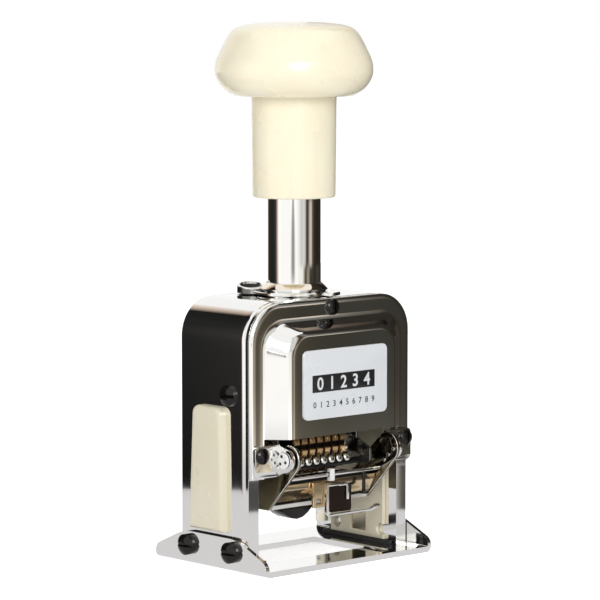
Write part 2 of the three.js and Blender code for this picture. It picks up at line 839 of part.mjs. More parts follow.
function buildWheels() {
  const outline = toothedOutline(digitsPerWheel, wheelRadius, wheelLandRise, wheelLandHalfAngle);
  for (let i = 0; i < wheelCount; i += 1) {
    const left = wheelFirstEdge + i * wheelPitch;
    const right = left + wheelWidth;
    const bore = rodX(axleRadius + pivotPlay, left - overrun, right + overrun, wheelAxisY, wheelAxisZ);
    add(`number_wheel_${i + 1}`, cut(slabX(outline, left, right), bore), brass);
  }
  const ratchetLeft = wheelFirstEdge + wheelCount * wheelPitch;
  const ratchetRight = ratchetLeft + ratchetWidth;
  const teeth = toothedOutline(ratchetTeeth, ratchetRadius, ratchetToothDepth, wheelLandHalfAngle / 2);
  const bore = rodX(axleRadius + pivotPlay, ratchetLeft - overrun, yokeRight, wheelAxisY, wheelAxisZ);
  add('ratchet_wheel', cut(slabX(teeth, ratchetLeft, ratchetRight), bore), steel);
  const spacerRight = yokeRight - yokeArmWidth - seatGap;
  const spacer = rodX(spacerRadius, ratchetRight + seatGap, spacerRight, wheelAxisY, wheelAxisZ, roundSides);
  add('spacer_collar', cut(spacer, bore), steel);
}

// Detent comb: a sprung finger in front of each wheel
function buildComb() {
  const back = combFront + combSheet;
  const barTop = combBottom + combBarHeight;
  let comb = block([-headHalfSpan, headHalfSpan], [combFront, back], [combBottom, barTop]);
  for (let i = 0; i < wheelCount; i += 1) {
    const middle = wheelFirstEdge + i * wheelPitch + wheelWidth / 2;
    const [left, right] = [middle - combFingerWidth / 2, middle + combFingerWidth / 2];
    const height = [barTop - overrun, barTop + combFingerHeight];
    comb = join(comb, block([left, right], [combFront, back], height));
  }
  add('detent_comb', comb, chrome);
}

// Pawl yoke: two arms on the axle, riveted to a bar behind the wheels with the driving pawl
function buildYoke() {
  const barFront = wheelAxisY + yokeReach - yokeBarDepth;
  const barRear = wheelAxisY + yokeReach;
  const barTop = wheelAxisZ - yokeDrop;
  const outline = strapOutline(wheelAxisY, wheelAxisZ, yokeHubRadius, [
    [barRear, barTop - yokeBarHeight],
    [barRear, barTop],
  ]);
  const bore = rodX(
    axleRadius + pivotPlay, -yokeRight - overrun, yokeRight + overrun, wheelAxisY, wheelAxisZ,
  );
  const barHalf = yokeRight - yokeArmWidth;
  for (const [side, sign] of sides) {
    const arm = slabX(outline, ...span(sign, barHalf, yokeRight));
    add(`yoke_arm_${side}`, cut(arm, bore), steel);
  }
  const bar = block([-barHalf, barHalf], [barFront, barRear], [barTop - yokeBarHeight, barTop]);
  const pawlLeft = wheelFirstEdge + wheelCount * wheelPitch;
  const pawlFront = wheelAxisY + wheelRadius + seatGap;
  const pawl = block(
    [pawlLeft, pawlLeft + yokePawlWidth],
    [pawlFront, barRear],
    [barTop - yokeBarHeight, barTop],
  );
  add('pawl_yoke', join(bar, pawl), steel);
}

// Pivot brackets on the legs, with the rivets that the ink arms turn on
function buildBrackets() {
  const lugBack = coverFront - seatGap;
  const lug = [
    [lugBack, bracketBottom],
    [lugBack, bracketTop],
    ...arc(pivotY, pivotZ, bracketNose, 90, 270, 2 * arcSteps),
  ];
  for (const [side, sign] of sides) {
    const reach = span(sign, bracketInner, bracketInner + bracketSheet);
    const ear = roundedRectangle(
      (bracketEarOuter - bracketInner) / 2, bracketBottom, bracketTop, bracketEarInset,
    ).map(([x, z]) => [x + sign * (bracketEarOuter + bracketInner) / 2, z]);
    const bracket = cut(
      join(slabX(lug, ...reach), slabY(ear, lugBack - bracketSheet, lugBack)),
      rodX(pivotRadius + boltPlay, -frameHalf, frameHalf, pivotY, pivotZ),
      rodY(m3ShankRadius + boltPlay, pivotY, coverFront, sign * earScrewX, earScrewZ),
    );
    add(`bracket_${side}`, bracket, chrome);
    screw(`ear_screw_${side}`, m3HeadRadius, m3HeadHeight, m3ShankRadius, m3Length + bracketSheet,
      [sign * earScrewX, lugBack - bracketSheet, earScrewZ], [0, -1, 0]);
    const outer = bracketInner + bracketSheet;
    const rivet = join(
      rodX(pivotRadius, ...span(sign, armInner, outer), pivotY, pivotZ),
      rodX(pivotHeadRadius, ...span(sign, outer + seatGap / 3, outer + pivotHeadHeight), pivotY, pivotZ),
      rodX(pivotRadius, ...span(sign, outer - seatGap, outer + seatGap), pivotY, pivotZ),
    );
    add(`pivot_rivet_${side}`, rivet, steel);
  }
}

// Ink swing: arms, tray, pad and the small pieces on them
function buildInkSwing() {
  const outline = strapOutline(pivotY, pivotZ, armNose, [
    [trayFront, trayBottom],
    [trayRear, trayBottom],
    [trayRear, armRearTop],
  ]);
  for (const [side, sign] of sides) {
    const arm = slabX(outline, ...span(sign, armInner, armInner + armSheet));
    const bore = rodX(pivotRadius + pivotPlay, -frameHalf, frameHalf, pivotY, pivotZ);
    add(`ink_arm_${side}`, cut(arm, bore), chrome);
  }
  const half = armInner - seatGap;
  const wallFoot = trayFront + traySheet;
  const tray = [
    [trayFront, trayBottom],
    [trayRear, trayBottom],
    [trayRear, trayRearTop],
    [trayRear - traySheet, trayRearTop],
    [trayRear - traySheet, trayBottom + traySheet],
    [wallFoot, trayBottom + traySheet],
    [trayLipY + traySheet, trayTop - 2 * traySheet],
    [trayLipY + traySheet, trayTop],
    [trayLipY, trayTop],
    [trayLipY, trayTop - 2 * traySheet],
  ];
  add('ink_tray', slabX(tray, -half, half), steel);
  const padFront = wallFoot + seatGap;
  const padRear = trayRear - traySheet - seatGap;
  const padBottom = trayBottom + traySheet + seatGap;
  const pad = [
    [padFront, padBottom],
    [padRear, padBottom],
    [padRear, padBottom + padHeight],
    [trayLipY + traySheet + seatGap, padBottom + padHeight],
    [trayLipY + traySheet + seatGap, trayTop - 2 * traySheet + seatGap],
  ];
  add('ink_pad', slabX(pad, seatGap - half, half - seatGap), felt);
  const clipBack = trayLipY - seatGap;
  const clip = [
    [clipUpperRight, clipTop],
    [clipLeft, clipTop],
    [clipLeft, clipBottom + clipTipRise],
    [clipLeft + clipTipRise, clipBottom],
    [clipLowerRight, clipBottom],
    [clipTipRight, clipBottom + clipTipRise],
    [clipTipRight - clipStrip, clipBottom + clipTipRise + clipStrip],
    [clipLowerRight, clipBottom + clipStrip],
    [clipLeft + clipTipRise, clipBottom + clipStrip],
    [clipLeft + clipStrip, clipBottom + clipTipRise + clipStrip],
    [clipLeft + clipStrip, clipTop - clipStrip],
    [clipUpperRight, clipTop - clipStrip],
  ];
  add('pad_clip', slabY(clip, clipBack - clipDepth, clipBack), chrome);
  const slot = [tabBottom + tabSlotInset, tabBottom + tabSlotInset + tabSlotHeight];
  const tab = cut(
    block([tabLeft, tabRight], [clipBack - tabDepth, clipBack], [tabBottom, tabTop]),
    block(
      [tabLeft + tabSlotInset, tabRight - tabSlotInset],
      [clipBack - tabDepth - overrun, clipBack + overrun],
      slot,
    ),
  );
  add('pad_tab', tab, brass);
  const barRear = barFront + barSize;
  const barTop = barBottom + barSize;
  add('tray_bar', block([-half, half], [barFront, barRear], [barBottom, barTop]), chrome);
  const blockRight = blockLeft + blockWidth;
  const blockBody = cut(
    block([blockLeft, blockRight], [blockFront, blockFront + blockDepth], [blockBottom, blockTop]),
    block(
      [blockLeft - overrun, blockRight + overrun],
      [barFront - seatGap, barRear + overrun],
      [barBottom - seatGap, barTop + seatGap],
    ),
  );
  add('bar_block', blockBody, paper);
  const pinY = barFront + barSize / 2;
  const pin = join(
    rodZ(pinRadius, pinBottom, barBottom - seatGap, pinX, pinY, smallSides),
    rodZ(pinFootRadius, pinBottom, pinBottom + pinFootHeight, pinX, pinY, smallSides),
  );
  add('pad_pin', pin, black);
  const leafTop = trayBottom - seatGap;
  const middle = (leafLeft + leafRight) / 2;
  const leaf = new THREE.Shape();
  leaf.moveTo(leafLeft, leafTop);
  leaf.quadraticCurveTo(middle, leafTop - 2 * leafDrop, leafRight, leafTop);
  const points = leaf.getPoints(arcSteps).map((point) => [point.x, point.y]);
  add('tray_leaf', slabY(points, leafFront, leafRear), black);
}

buildBase();
buildFrame();
buildCovers();
buildSideTrim();
buildPlunger();
buildCollar();
buildLockPlate();
buildSpring();
buildBridge();
buildCarrier();
buildWheels();
buildComb();
buildYoke();
buildBrackets();
buildInkSwing();

export default machine;
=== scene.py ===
import bmesh
import bpy
import math
import numpy as np
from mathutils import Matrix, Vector


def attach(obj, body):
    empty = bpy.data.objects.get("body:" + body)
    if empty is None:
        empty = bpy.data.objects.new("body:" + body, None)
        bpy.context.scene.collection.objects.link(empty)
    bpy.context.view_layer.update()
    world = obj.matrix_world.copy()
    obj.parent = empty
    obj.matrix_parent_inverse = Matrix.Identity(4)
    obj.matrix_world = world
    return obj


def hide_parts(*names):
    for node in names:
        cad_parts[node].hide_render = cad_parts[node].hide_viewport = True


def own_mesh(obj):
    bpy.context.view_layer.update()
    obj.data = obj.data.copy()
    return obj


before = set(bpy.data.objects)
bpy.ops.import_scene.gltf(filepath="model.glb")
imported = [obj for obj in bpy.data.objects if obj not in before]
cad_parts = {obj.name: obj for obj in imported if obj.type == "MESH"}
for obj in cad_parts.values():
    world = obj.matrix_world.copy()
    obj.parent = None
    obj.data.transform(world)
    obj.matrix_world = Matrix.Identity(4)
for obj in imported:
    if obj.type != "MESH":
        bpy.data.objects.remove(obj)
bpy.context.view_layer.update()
mm = 0.001


# Studio: a white table in a white room, with curved screens that only polished metal sees.
# Black stands to the rear left and brown that fades to tan to the front right, and low
# strips give the legs and the tube their dark lines.
def put_in_scene(name, data):
    """A new object that shows a mesh, a camera or a lamp."""
    thing = bpy.data.objects.new(name, data)
    bpy.context.scene.collection.objects.link(thing)
    return thing


look_at = Vector((0, 0, 90 * mm))
camera_azimuth = math.radians(-42.2)
camera_elevation = math.radians(5.85)
camera_distance = 1138.54 * mm
camera_slide = (2.1 * mm, -1.0 * mm)
towards_camera = Vector((
    math.sin(camera_azimuth) * math.cos(camera_elevation),
    -math.cos(camera_azimuth) * math.cos(camera_elevation),
    math.sin(camera_elevation),
))
camera_right = Vector((math.cos(camera_azimuth), math.sin(camera_azimuth), 0))
camera_up = towards_camera.cross(camera_right)
camera = put_in_scene("camera", bpy.data.cameras.new("camera"))
camera.location = (
    look_at + towards_camera * camera_distance
    + camera_right * camera_slide[0] + camera_up * camera_slide[1]
)
camera.rotation_mode = "QUATERNION"
camera.rotation_quaternion = (-towards_camera).to_track_quat("-Z", "Y")
camera.data.sensor_width = 36
camera.data.lens = 197.39
bpy.context.scene.camera = camera
bpy.context.scene.view_settings.view_transform = "Standard"


def feed(tree, node, feeds):
    """Links a node's inputs, each to the (node, output) that feeds it."""
    for key, (source, output) in feeds.items():
        tree.links.new(source.outputs[output], node.inputs[key])


def shader_node(tree, kind, values=None, feeds=None, **settings):
    """Adds one node to a material: its settings, its inputs' values and its feeds."""
    node = tree.nodes.new("ShaderNode" + kind)
    for key, setting in settings.items():
        setattr(node, key, setting)
    for key, value in (values or {}).items():
        node.inputs[key].default_value = value
    feed(tree, node, feeds or {})
    return node


def built_mesh(name, points, faces):
    """A mesh from points in mm, in an array whose last axis is x, y, z, and its faces."""
    mesh = bpy.data.meshes.new(name)
    mesh.from_pydata((np.asarray(points).reshape(-1, 3) * mm).tolist(), [], faces)
    return mesh


def new_material(name):
    """An empty material that a mesh can be given, and the tree that holds its nodes."""
    material = bpy.data.materials.new(name)
    material.use_nodes = True
    return material, material.node_tree


def grid_cells(columns, rows):
    """The four corner numbers of every cell of a grid of points."""
    number = np.arange(columns * rows).reshape(columns, rows)
    return np.stack([number[:-1, :-1], number[1:, :-1], number[1:, 1:], number[:-1, 1:]], -1)


table_half = 4000
table_mesh = built_mesh("table", table_half * np.array([
    (-1, -1, 0), (1, -1, 0), (1, 1, 0), (-1, 1, 0)]), [(0, 1, 2, 3)])
table = put_in_scene("table", table_mesh)
table_white, tree = new_material("table_white")
table_mesh.materials.append(table_white)
shade = tree.nodes["Principled BSDF"]
shade.inputs["Base Color"].default_value = (0.93, 0.93, 0.93, 1)
shade.inputs["Roughness"].default_value = 1
shade.inputs["Specular IOR Level"].default_value = 0
rays = shader_node(tree, "LightPath")
lift = shader_node(tree, "Emission", {"Color": (1, 0.99, 0.985, 1), "Strength": 0.56})
seen_white = shader_node(tree, "AddShader", feeds={0: (shade, "BSDF"), 1: (lift, "Emission")})
# Painted reflection: to polished metal the table is a glow of its own, darker near the machine and
# brighter far from it.
table_place = shader_node(tree, "TexCoord")
table_reach = shader_node(tree, "VectorMath", feeds={0: (table_place, "Object")},
                          operation="LENGTH")
table_far = shader_node(tree, "MapRange", {"From Min": 0.26, "From Max": 0.42},
                        {"Value": (table_reach, "Value")})
painted_table_reflection = shader_node(tree, "Mix", {"A": (0.70, 0.69, 0.70, 1), "B": (1.08, 1.07, 1.05, 1)},
                         {"Factor": (table_far, "Result")}, data_type="RGBA")
mirrored = shader_node(tree, "Emission", feeds={"Color": (painted_table_reflection, "Result")})
by_camera = shader_node(tree, "MixShader", feeds={
    "Fac": (rays, "Is Camera Ray"), 1: (shade, "BSDF"), 2: (seen_white, "Shader")})
by_metal = shader_node(tree, "MixShader", feeds={
    "Fac": (rays, "Is Glossy Ray"), 1: (by_camera, "Shader"), 2: (mirrored, "Emission")})
feed(tree, tree.nodes["Material Output"], {"Surface": (by_metal, "Shader")})


def screen(name, radius, low, high, tones, fade=(1, 1)):
    """A glowing screen curved round the machine, seen in polished metal alone, where it paints
    the reflections. Tones are (bearing, red, green, blue), run together between them, and
    fade scales them from foot to top."""
    columns, rows = 90, 12
    bearings = np.radians(np.linspace(tones[0][0], tones[-1][0], columns))
    heights = np.linspace(low, high, rows)
    stops = np.radians([t[0] for t in tones])
    colour = np.stack([np.interp(bearings, stops, [t[i] for t in tones]) for i in (1, 2, 3)], -1)
    scale = np.interp(heights, np.linspace(low, high, len(fade)), fade)
    points = np.stack(np.broadcast_arrays(
        radius * np.sin(bearings)[:, None], -radius * np.cos(bearings)[:, None], heights), -1)
    mesh = built_mesh(name, points, grid_cells(columns, rows).reshape(-1, 4).tolist())
    paint = mesh.color_attributes.new("tone", "FLOAT_COLOR", "POINT")
    shaded = np.concatenate([colour[:, None] * scale[:, None], np.ones((columns, rows, 1))], -1)
    paint.data.foreach_set("color", shaded.astype(np.float32).ravel())
    material, tree = new_material(name)
    tree.nodes.remove(tree.nodes["Principled BSDF"])
    tone = shader_node(tree, "VertexColor", layer_name="tone")
    glow = shader_node(tree, "Emission", feeds={"Color": (tone, "Color")})
    feed(tree, tree.nodes["Material Output"], {"Surface": (glow, "Emission")})
    mesh.materials.append(material)
    wall = put_in_scene(name, mesh)
    wall.visible_camera = wall.visible_diffuse = False
    wall.visible_transmission = wall.visible_shadow = False


black_to_white = [(-121, 0.09, 0.072, 0.06), (-116, 0.32, 0.27, 0.24), (-110, 0.66, 0.63, 0.6),
                  (-104, 0.95, 0.94, 0.92)]
screen("black_screen", 192, 0, 150, [
    (-194, 0.8, 0.74, 0.66), (-188, 0.4, 0.34, 0.28), (-182, 0.02, 0.018, 0.014),
    (-150, 0.01, 0.01, 0.009), (-136, 0.012, 0.012, 0.012), (-125, 0.022, 0.021, 0.02),
    *black_to_white,
], (0.7, 1.2, 1.9, 1.6))
screen("black_screen_high", 232, 150, 400, [
    (-180, 0.92, 0.86, 0.8), (-171, 0.66, 0.55, 0.46), (-165, 0.4, 0.31, 0.25),
    (-159, 0.012, 0.012, 0.011), (-136, 0.014, 0.014, 0.013), (-127, 0.03, 0.03, 0.03),
    *black_to_white,
], (1.6, 1.2, 0.9, 0.8))
screen("brown_screen", 175, 9, 86, [
    (-24, 1.0, 0.98, 0.94), (-6, 0.96, 0.93, 0.86), (1, 0.45, 0.42, 0.34), (6, 0.075, 0.06, 0.045),
    (11, 0.12, 0.1, 0.07), (18, 0.36, 0.32, 0.25), (23, 0.3, 0.26, 0.2), (29, 0.07, 0.06, 0.045),
    (35, 0.045, 0.042, 0.033), (42, 0.05, 0.048, 0.04), (56, 0.03, 0.027, 0.02),
    (75, 0.06, 0.05, 0.04), (100, 0.03, 0.03, 0.028), (128, 0.03, 0.03, 0.028),
    (134, 0.06, 0.06, 0.055),
], (2.4, 1.7, 1.1, 1.0, 0.95, 1.0))
white_stripes = [
    (-26, 1.0, 0.99, 0.97), (-19, 0.86, 0.86, 0.84), (-10, 0.62, 0.62, 0.6), (0, 0.76, 0.75, 0.72),
    (7, 0.55, 0.53, 0.5), (11, 0.09, 0.065, 0.055), (20, 0.06, 0.042, 0.035),
]
brown_end = [(110, 0.025, 0.023, 0.02), (120, 0.05, 0.045, 0.04)]
screen("striped_screen", 175, 86, 112, [
    *white_stripes, (24, 0.38, 0.32, 0.27), (30, 0.62, 0.54, 0.46), (36, 0.74, 0.66, 0.56),
    (40, 0.19, 0.16, 0.13), (46, 0.09, 0.08, 0.065), (52, 0.034, 0.028, 0.02),
    (70, 0.022, 0.018, 0.012), *brown_end,
])
screen("striped_screen_high", 175, 112, 340, [
    *white_stripes, (24, 0.16, 0.15, 0.14), (30, 0.24, 0.23, 0.22), (40, 0.17, 0.165, 0.155),
    (46, 0.09, 0.085, 0.075), (52, 0.034, 0.03, 0.026), *brown_end,
])
screen("low_dark_screen", 121, 0, 12, [
    (9, 0.6, 0.6, 0.6), (13, 0.1, 0.1, 0.095), (24, 0.07, 0.07, 0.065), (33, 0.1, 0.1, 0.095),
    (38, 0.6, 0.6, 0.6),
])
screen("leg_dark_screen", 121, 0, 17, [
    (46.5, 0.62, 0.61, 0.58), (48.6, 0.52, 0.5, 0.46), (49.25, 0.4, 0.38, 0.34),
    (49.55, 0.2, 0.19, 0.165), (49.9, 0.1, 0.095, 0.08), (50.1, 0.06, 0.055, 0.045),
    (50.5, 0.1, 0.095, 0.085), (56, 0.09, 0.085, 0.075), (62, 0.6, 0.6, 0.58),
])
screen("tan_screen_high", 170, 150, 520, [
    (92, 0.03, 0.03, 0.03), (103, 0.03, 0.028, 0.024), (107, 0.12, 0.09, 0.07),
    (112, 0.5, 0.42, 0.33), (118, 0.72, 0.63, 0.53), (128, 0.85, 0.79, 0.72), (136, 1.0, 0.97, 0.94),
], (0.1, 0.9, 1.0, 1.05, 1.1))
screen("grey_strip", 1000, 0, 90, [
    (-56, 0.9, 0.89, 0.88), (-49.5, 0.34, 0.33, 0.32), (-45, 0.2, 0.2, 0.19),
    (-41, 0.42, 0.41, 0.4), (-36, 0.9, 0.89, 0.88),
], (1, 1, 1.2, 1.8, 3, 5))

world = bpy.data.worlds.new("studio")
bpy.context.scene.world = world
world.use_nodes = True
sky = world.node_tree
ambient = sky.nodes["Background"]
ambient.inputs["Color"].default_value = (0.94, 0.97, 1, 1)
ambient.inputs["Strength"].default_value = 0.55
plain = shader_node(sky, "Background", {"Color": (1, 1, 1, 1)})
sky_rays = shader_node(sky, "LightPath")
sky_seen = shader_node(sky, "Math", feeds={
    0: (sky_rays, "Is Camera Ray"), 1: (sky_rays, "Is Glossy Ray")}, operation="MAXIMUM")
sky_pick = shader_node(sky, "MixShader", feeds={
    "Fac": (sky_seen, "Value"), 1: (ambient, "Background"), 2: (plain, "Background")})
feed(sky, sky.nodes["World Output"], {"Surface": (sky_pick, "Shader")})


def soft_lamp(name, bearing, height, distance, size, watts):
    """A square soft box that looks at the machine from a bearing and a height angle."""
    lamp = put_in_scene(name, bpy.data.lights.new(name, "AREA"))
    b, h = math.radians(bearing), math.radians(height)
    away = Vector((math.sin(b) * math.cos(h), -math.cos(b) * math.cos(h), math.sin(h)))
    lamp.location = look_at + away * distance
    lamp.rotation_mode = "QUATERNION"
    lamp.rotation_quaternion = (-away).to_track_quat("-Z", "Y")
    lamp.data.size = size
    lamp.data.energy = watts
    return lamp


soft_lamp("lamp_front", -32, 22, 1.3, 0.6, 7.6)
soft_lamp("lamp_top", 60, 68, 1.4, 0.9, 4.4).visible_glossy = False
soft_lamp("lamp_left", -118, 12, 1.3, 0.8, 2.8).visible_glossy = False


# Base plate: one sheet of chrome-plated steel, its two sides bent up to hold the legs.
# The window lets the wheels through, and a lowered ledge in front shows where they print.
def lines(*marks):
    """Grid lines: each mark is (where, how many steps from there to the next mark)."""
    runs = [np.linspace(a, b, n, endpoint=False) for (a, n), (b, _) in zip(marks, marks[1:])]
    return np.concatenate(runs + [np.array([marks[-1][0]])])


def sheet_between(name, outer, inner, keep=None, joined=False, folded=False):
    """Closed sheet between two grids of points: quads on both, where the mask keeps the
    cell, and a rim of quads along every edge between a kept cell and a dropped one. A
    joined grid meets itself where its last column comes round to its first, and a folded
    one where its last row runs out along a line and back on it."""
    nu, nv = outer.shape[:2]
    if keep is None:
        keep = np.ones((nu - 1, nv - 1), bool)
    quads = grid_cells(nu, nv)
    faces = [quads[keep], quads[keep][:, ::-1] + nu * nv]
    around = np.pad(keep, ((0, 0), (1, 1)), "wrap") if joined else np.pad(keep, ((0, 0), (1, 1)))
    around = np.pad(around, ((1, 1), (0, 0)))
    if folded:
        around[-1] = True
    for du, dv, first, second in ((-1, 0, 3, 0), (1, 0, 1, 2), (0, -1, 0, 1), (0, 1, 2, 3)):
        bare = quads[keep & ~around[1 + du:nu + du, 1 + dv:nv + dv]]
        a, b = bare[:, first], bare[:, second]
        faces.append(np.stack([b, a, a + nu * nv, b + nu * nv], -1))
    points = np.concatenate([outer.reshape(-1, 3), inner.reshape(-1, 3)])
    return built_mesh(name, points, np.concatenate(faces).tolist())


def ease_edges(piece, bevel, segments, angle):
    """Rounds the edges that turn by more than an angle in degrees to a width in mm."""
    ease = piece.modifiers.new("eased_edge", "BEVEL")
    ease.width = bevel * mm
    ease.segments = segments
    ease.limit_method = "ANGLE"
    ease.angle_limit = math.radians(angle)
    ease.harden_normals = True


def make_piece(mesh, body, material, replaced=(), sharp=35, bevel=0):
    """Puts a mesh into the scene as a finished piece of the same name: joined seams, faces
    outward, smooth between its sharp edges, and eased edges where a bevel is given."""
    work = bmesh.new()
    work.from_mesh(mesh)
    bmesh.ops.remove_doubles(work, verts=work.verts, dist=0.002 * mm)
    loose = [v for v in work.verts if not v.link_faces]
    bmesh.ops.delete(work, geom=loose, context="VERTS")
    bmesh.ops.recalc_face_normals(work, faces=work.faces)
    for face in work.faces:
        face.smooth = True
    work.to_mesh(mesh)
    work.free()
    mesh.set_sharp_from_angle(angle=math.radians(sharp))
    piece = put_in_scene(mesh.name, mesh)
    mesh.materials.append(material)
    if bevel:
        ease_edges(piece, bevel, 3, sharp)
    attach(piece, body)
    if replaced:
        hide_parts(*replaced)
    return piece


def metal_finish(name, colour, roughness, smear, scratch, scratch_size=900, grain=0.0, metallic=1.0):
    """Plated or bare metal: a colour, a roughness that wanders with handling smears, and
    fine hairline scratches in the bump. Grain adds the cast of rolled or tumbled metal."""
    material, tree = new_material(name)
    shader = tree.nodes["Principled BSDF"]
    shader.inputs["Metallic"].default_value = metallic
    place = shader_node(tree, "TexCoord")
    smears = shader_node(tree, "TexNoise", {"Scale": 45, "Detail": 5, "Roughness": 0.62},
                         {"Vector": (place, "Object")})
    spread = shader_node(tree, "MapRange", {
        "From Min": 0.35, "From Max": 0.75, "To Min": roughness, "To Max": roughness + smear,
    }, {"Value": (smears, "Fac")})
    dulled = (*[c * (0.93 - grain) for c in colour], 1)
    tone = shader_node(tree, "Mix", {"A": (*colour, 1), "B": dulled},
                       {"Factor": (smears, "Fac")}, data_type="RGBA")
    turn = shader_node(tree, "Mapping", {"Rotation": (0.5, 0.7, 0.3), "Scale": (1, 14, 1)},
                       {"Vector": (place, "Object")})
    hair = shader_node(tree, "TexNoise", {"Scale": scratch_size / 6, "Detail": 4},
                       {"Vector": (turn, "Vector")})
    bump = shader_node(tree, "Bump", {"Strength": scratch, "Distance": 0.02 * mm},
                       {"Height": (hair, "Fac")})
    feed(tree, shader, {"Roughness": (spread, "Result"), "Base Color": (tone, "Result"),
                        "Normal": (bump, "Normal")})
    return material


chrome = metal_finish("bright_chrome", (0.93, 0.925, 0.905), 0.035, 0.05, 0.05)

base_half = (38.6, 28.9)
base_sheet = 2.0
base_bend = 2.2
base_wall_share = 0.75
base_wall_top = 11.2
base_tip_top = 4.5
base_flat_half = 13.7
window_half = 21.0
window_y = (-13.3, 12.5)
ledge_drop = 0.5
ledge_front = -25.7

base_tip_round = 2.0
across = lines((-window_half - 0.2, 1), (-window_half, 1), (-window_half + 0.2, 24),
               (window_half - 0.2, 1), (window_half, 1), (window_half + 0.2, 0))
along_y = lines((-base_half[1], 8), (-base_half[1] + base_tip_round, 3), (ledge_front - 0.1, 1),
                (ledge_front + 0.1, 14), (window_y[0], 20), (window_y[1], 14),
                (base_half[1] - base_tip_round, 8), (base_half[1], 0))


def base_profile(wall_share, sheet_in):
    """Half section of the bent sheet: out along the floor, round the bend, up the wall.
    Returns x, z and how far up the wall each point is, for one face of the sheet."""
    wall_in = sheet_in * base_wall_share
    floor_x = np.linspace(window_half + 0.2, base_half[0] - base_bend, 12, endpoint=False)
    bend = np.linspace(0, np.pi / 2, 9)
    bend_x = base_half[0] - base_bend + (base_bend - wall_in) * np.sin(bend)
    bend_z = base_bend - (base_bend - sheet_in) * np.cos(bend)
    x = np.concatenate([floor_x, bend_x, np.full(len(wall_share), base_half[0] - wall_in)])
    z = np.concatenate([np.full(12, sheet_in), bend_z, np.full(len(wall_share), base_bend)])
    rise = np.concatenate([np.zeros(12), np.zeros(9), wall_share])
    return x, z, rise


def base_face(sheet_in):
    """One face of the bent sheet as a grid: the section carried along Y, with the wall's
    top running down to a low tip beyond the flat middle, rounded at the two bends."""
    slope = np.clip((np.abs(along_y) - base_flat_half) / (base_half[1] - base_flat_half), 0, 1)
    corner_round = 0.06 * np.exp(-((np.abs(along_y) - base_flat_half) / 1.6) ** 2)
    top = base_wall_top + (base_tip_top - base_wall_top) * (slope + corner_round)
    past = np.clip(np.abs(along_y) - base_half[1] + base_tip_round, 0, base_tip_round)
    top -= base_tip_round - np.sqrt(base_tip_round ** 2 - past ** 2)
    x, z, rise = base_profile(np.linspace(0, 1, 7)[1:], sheet_in)
    half_x = np.repeat(x[:, None], len(along_y), 1)
    half_z = z[:, None] + rise[:, None] * (top - base_bend)[None, :]
    middle_x = np.repeat(across[1:-1, None], len(along_y), 1)
    middle_z = np.full_like(middle_x, sheet_in)
    all_x = np.concatenate([-half_x[::-1], middle_x, half_x])
    all_z = np.concatenate([half_z[::-1], middle_z, half_z])
    all_y = np.repeat(along_y[None, :], len(all_x), 0)
    if sheet_in:
        inside = (np.abs(all_x) < window_half) & (all_y > ledge_front) & (all_y <= window_y[0])
        all_z = all_z - ledge_drop * inside
    return np.stack([all_x, all_y, all_z], -1)


base_outer = base_face(0.0)
base_inner = base_face(base_sheet)
cell_x = (base_outer[:-1, :-1, 0] + base_outer[1:, 1:, 0]) / 2
cell_y = (base_outer[:-1, :-1, 1] + base_outer[1:, 1:, 1]) / 2
window = (np.abs(cell_x) < window_half) & (cell_y > window_y[0]) & (cell_y < window_y[1])
make_piece(sheet_between("base_plate_sheet", base_outer, base_inner, ~window),
           "stand", chrome, ["base_plate"], sharp=40, bevel=0.3)


# Flange screws: slotted pan heads of blackened steel, two through each side of the base
# plate into the foot of the leg.
black_steel = metal_finish("black_oxide", (0.03, 0.028, 0.026), 0.1, 0.12, 0.2, 700, 0.2, 0.75)


def set_towards(mesh, place, direction):
    """Turns a mesh that stands on +Z to a direction, and sets its foot at a place in mm."""
    turn = Vector((0, 0, 1)).rotation_difference(Vector(direction)).to_matrix().to_4x4()
    turn.translation = Vector(place) * mm
    mesh.transform(turn)
    return mesh


def slotted_screw(name, radius, height, rim, crown, slot_width, slot_depth, place, direction):
    """Pan head with a screwdriver slot. Rows run along the slot, and each stops at the
    head's circle; the height at a point is the rim plus a dome that falls with the 2.6th
    power of its distance from the middle, and the two middle rows drop to the slot's floor."""
    half = slot_width / 2
    out = radius * np.sin(np.linspace(np.arcsin(half / radius), np.pi / 2, 12))
    x = np.concatenate([-out[::-1], [-half + 1e-4, half - 1e-4], out])
    in_slot = np.zeros(len(x), bool)
    in_slot[12:14] = True
    share = np.sin(np.linspace(-np.pi / 2, np.pi / 2, 25))
    reach = np.sqrt(np.maximum(radius ** 2 - x ** 2, 0))
    y = reach[:, None] * share[None, :]
    far = np.sqrt(x[:, None] ** 2 + y ** 2) / radius
    z = rim + (height - rim) * np.clip((1 - far ** 2.6) / (1 - crown ** 2.6), 0, 1)
    z = np.where(in_slot[:, None], height - slot_depth, z)
    x_grid = np.repeat(x[:, None], len(share), 1)
    top = np.stack([x_grid, y, z], -1)
    bottom = np.stack([x_grid, y, np.zeros_like(z)], -1)
    head = set_towards(sheet_between(name + "_head", top, bottom), place, direction)
    make_piece(head, "stand", black_steel, [name], sharp=45)


for side, sign in (("left", -1), ("right", 1)):
    for end, y in (("front", -11.3), ("rear", 11.3)):
        slotted_screw(f"base_screw_{side}_{end}", 3.6, 3.25, 1.9, 0.35, 1.1, 1.6,
                      (sign * base_half[0], y, 6.6), (sign, 0, 0))


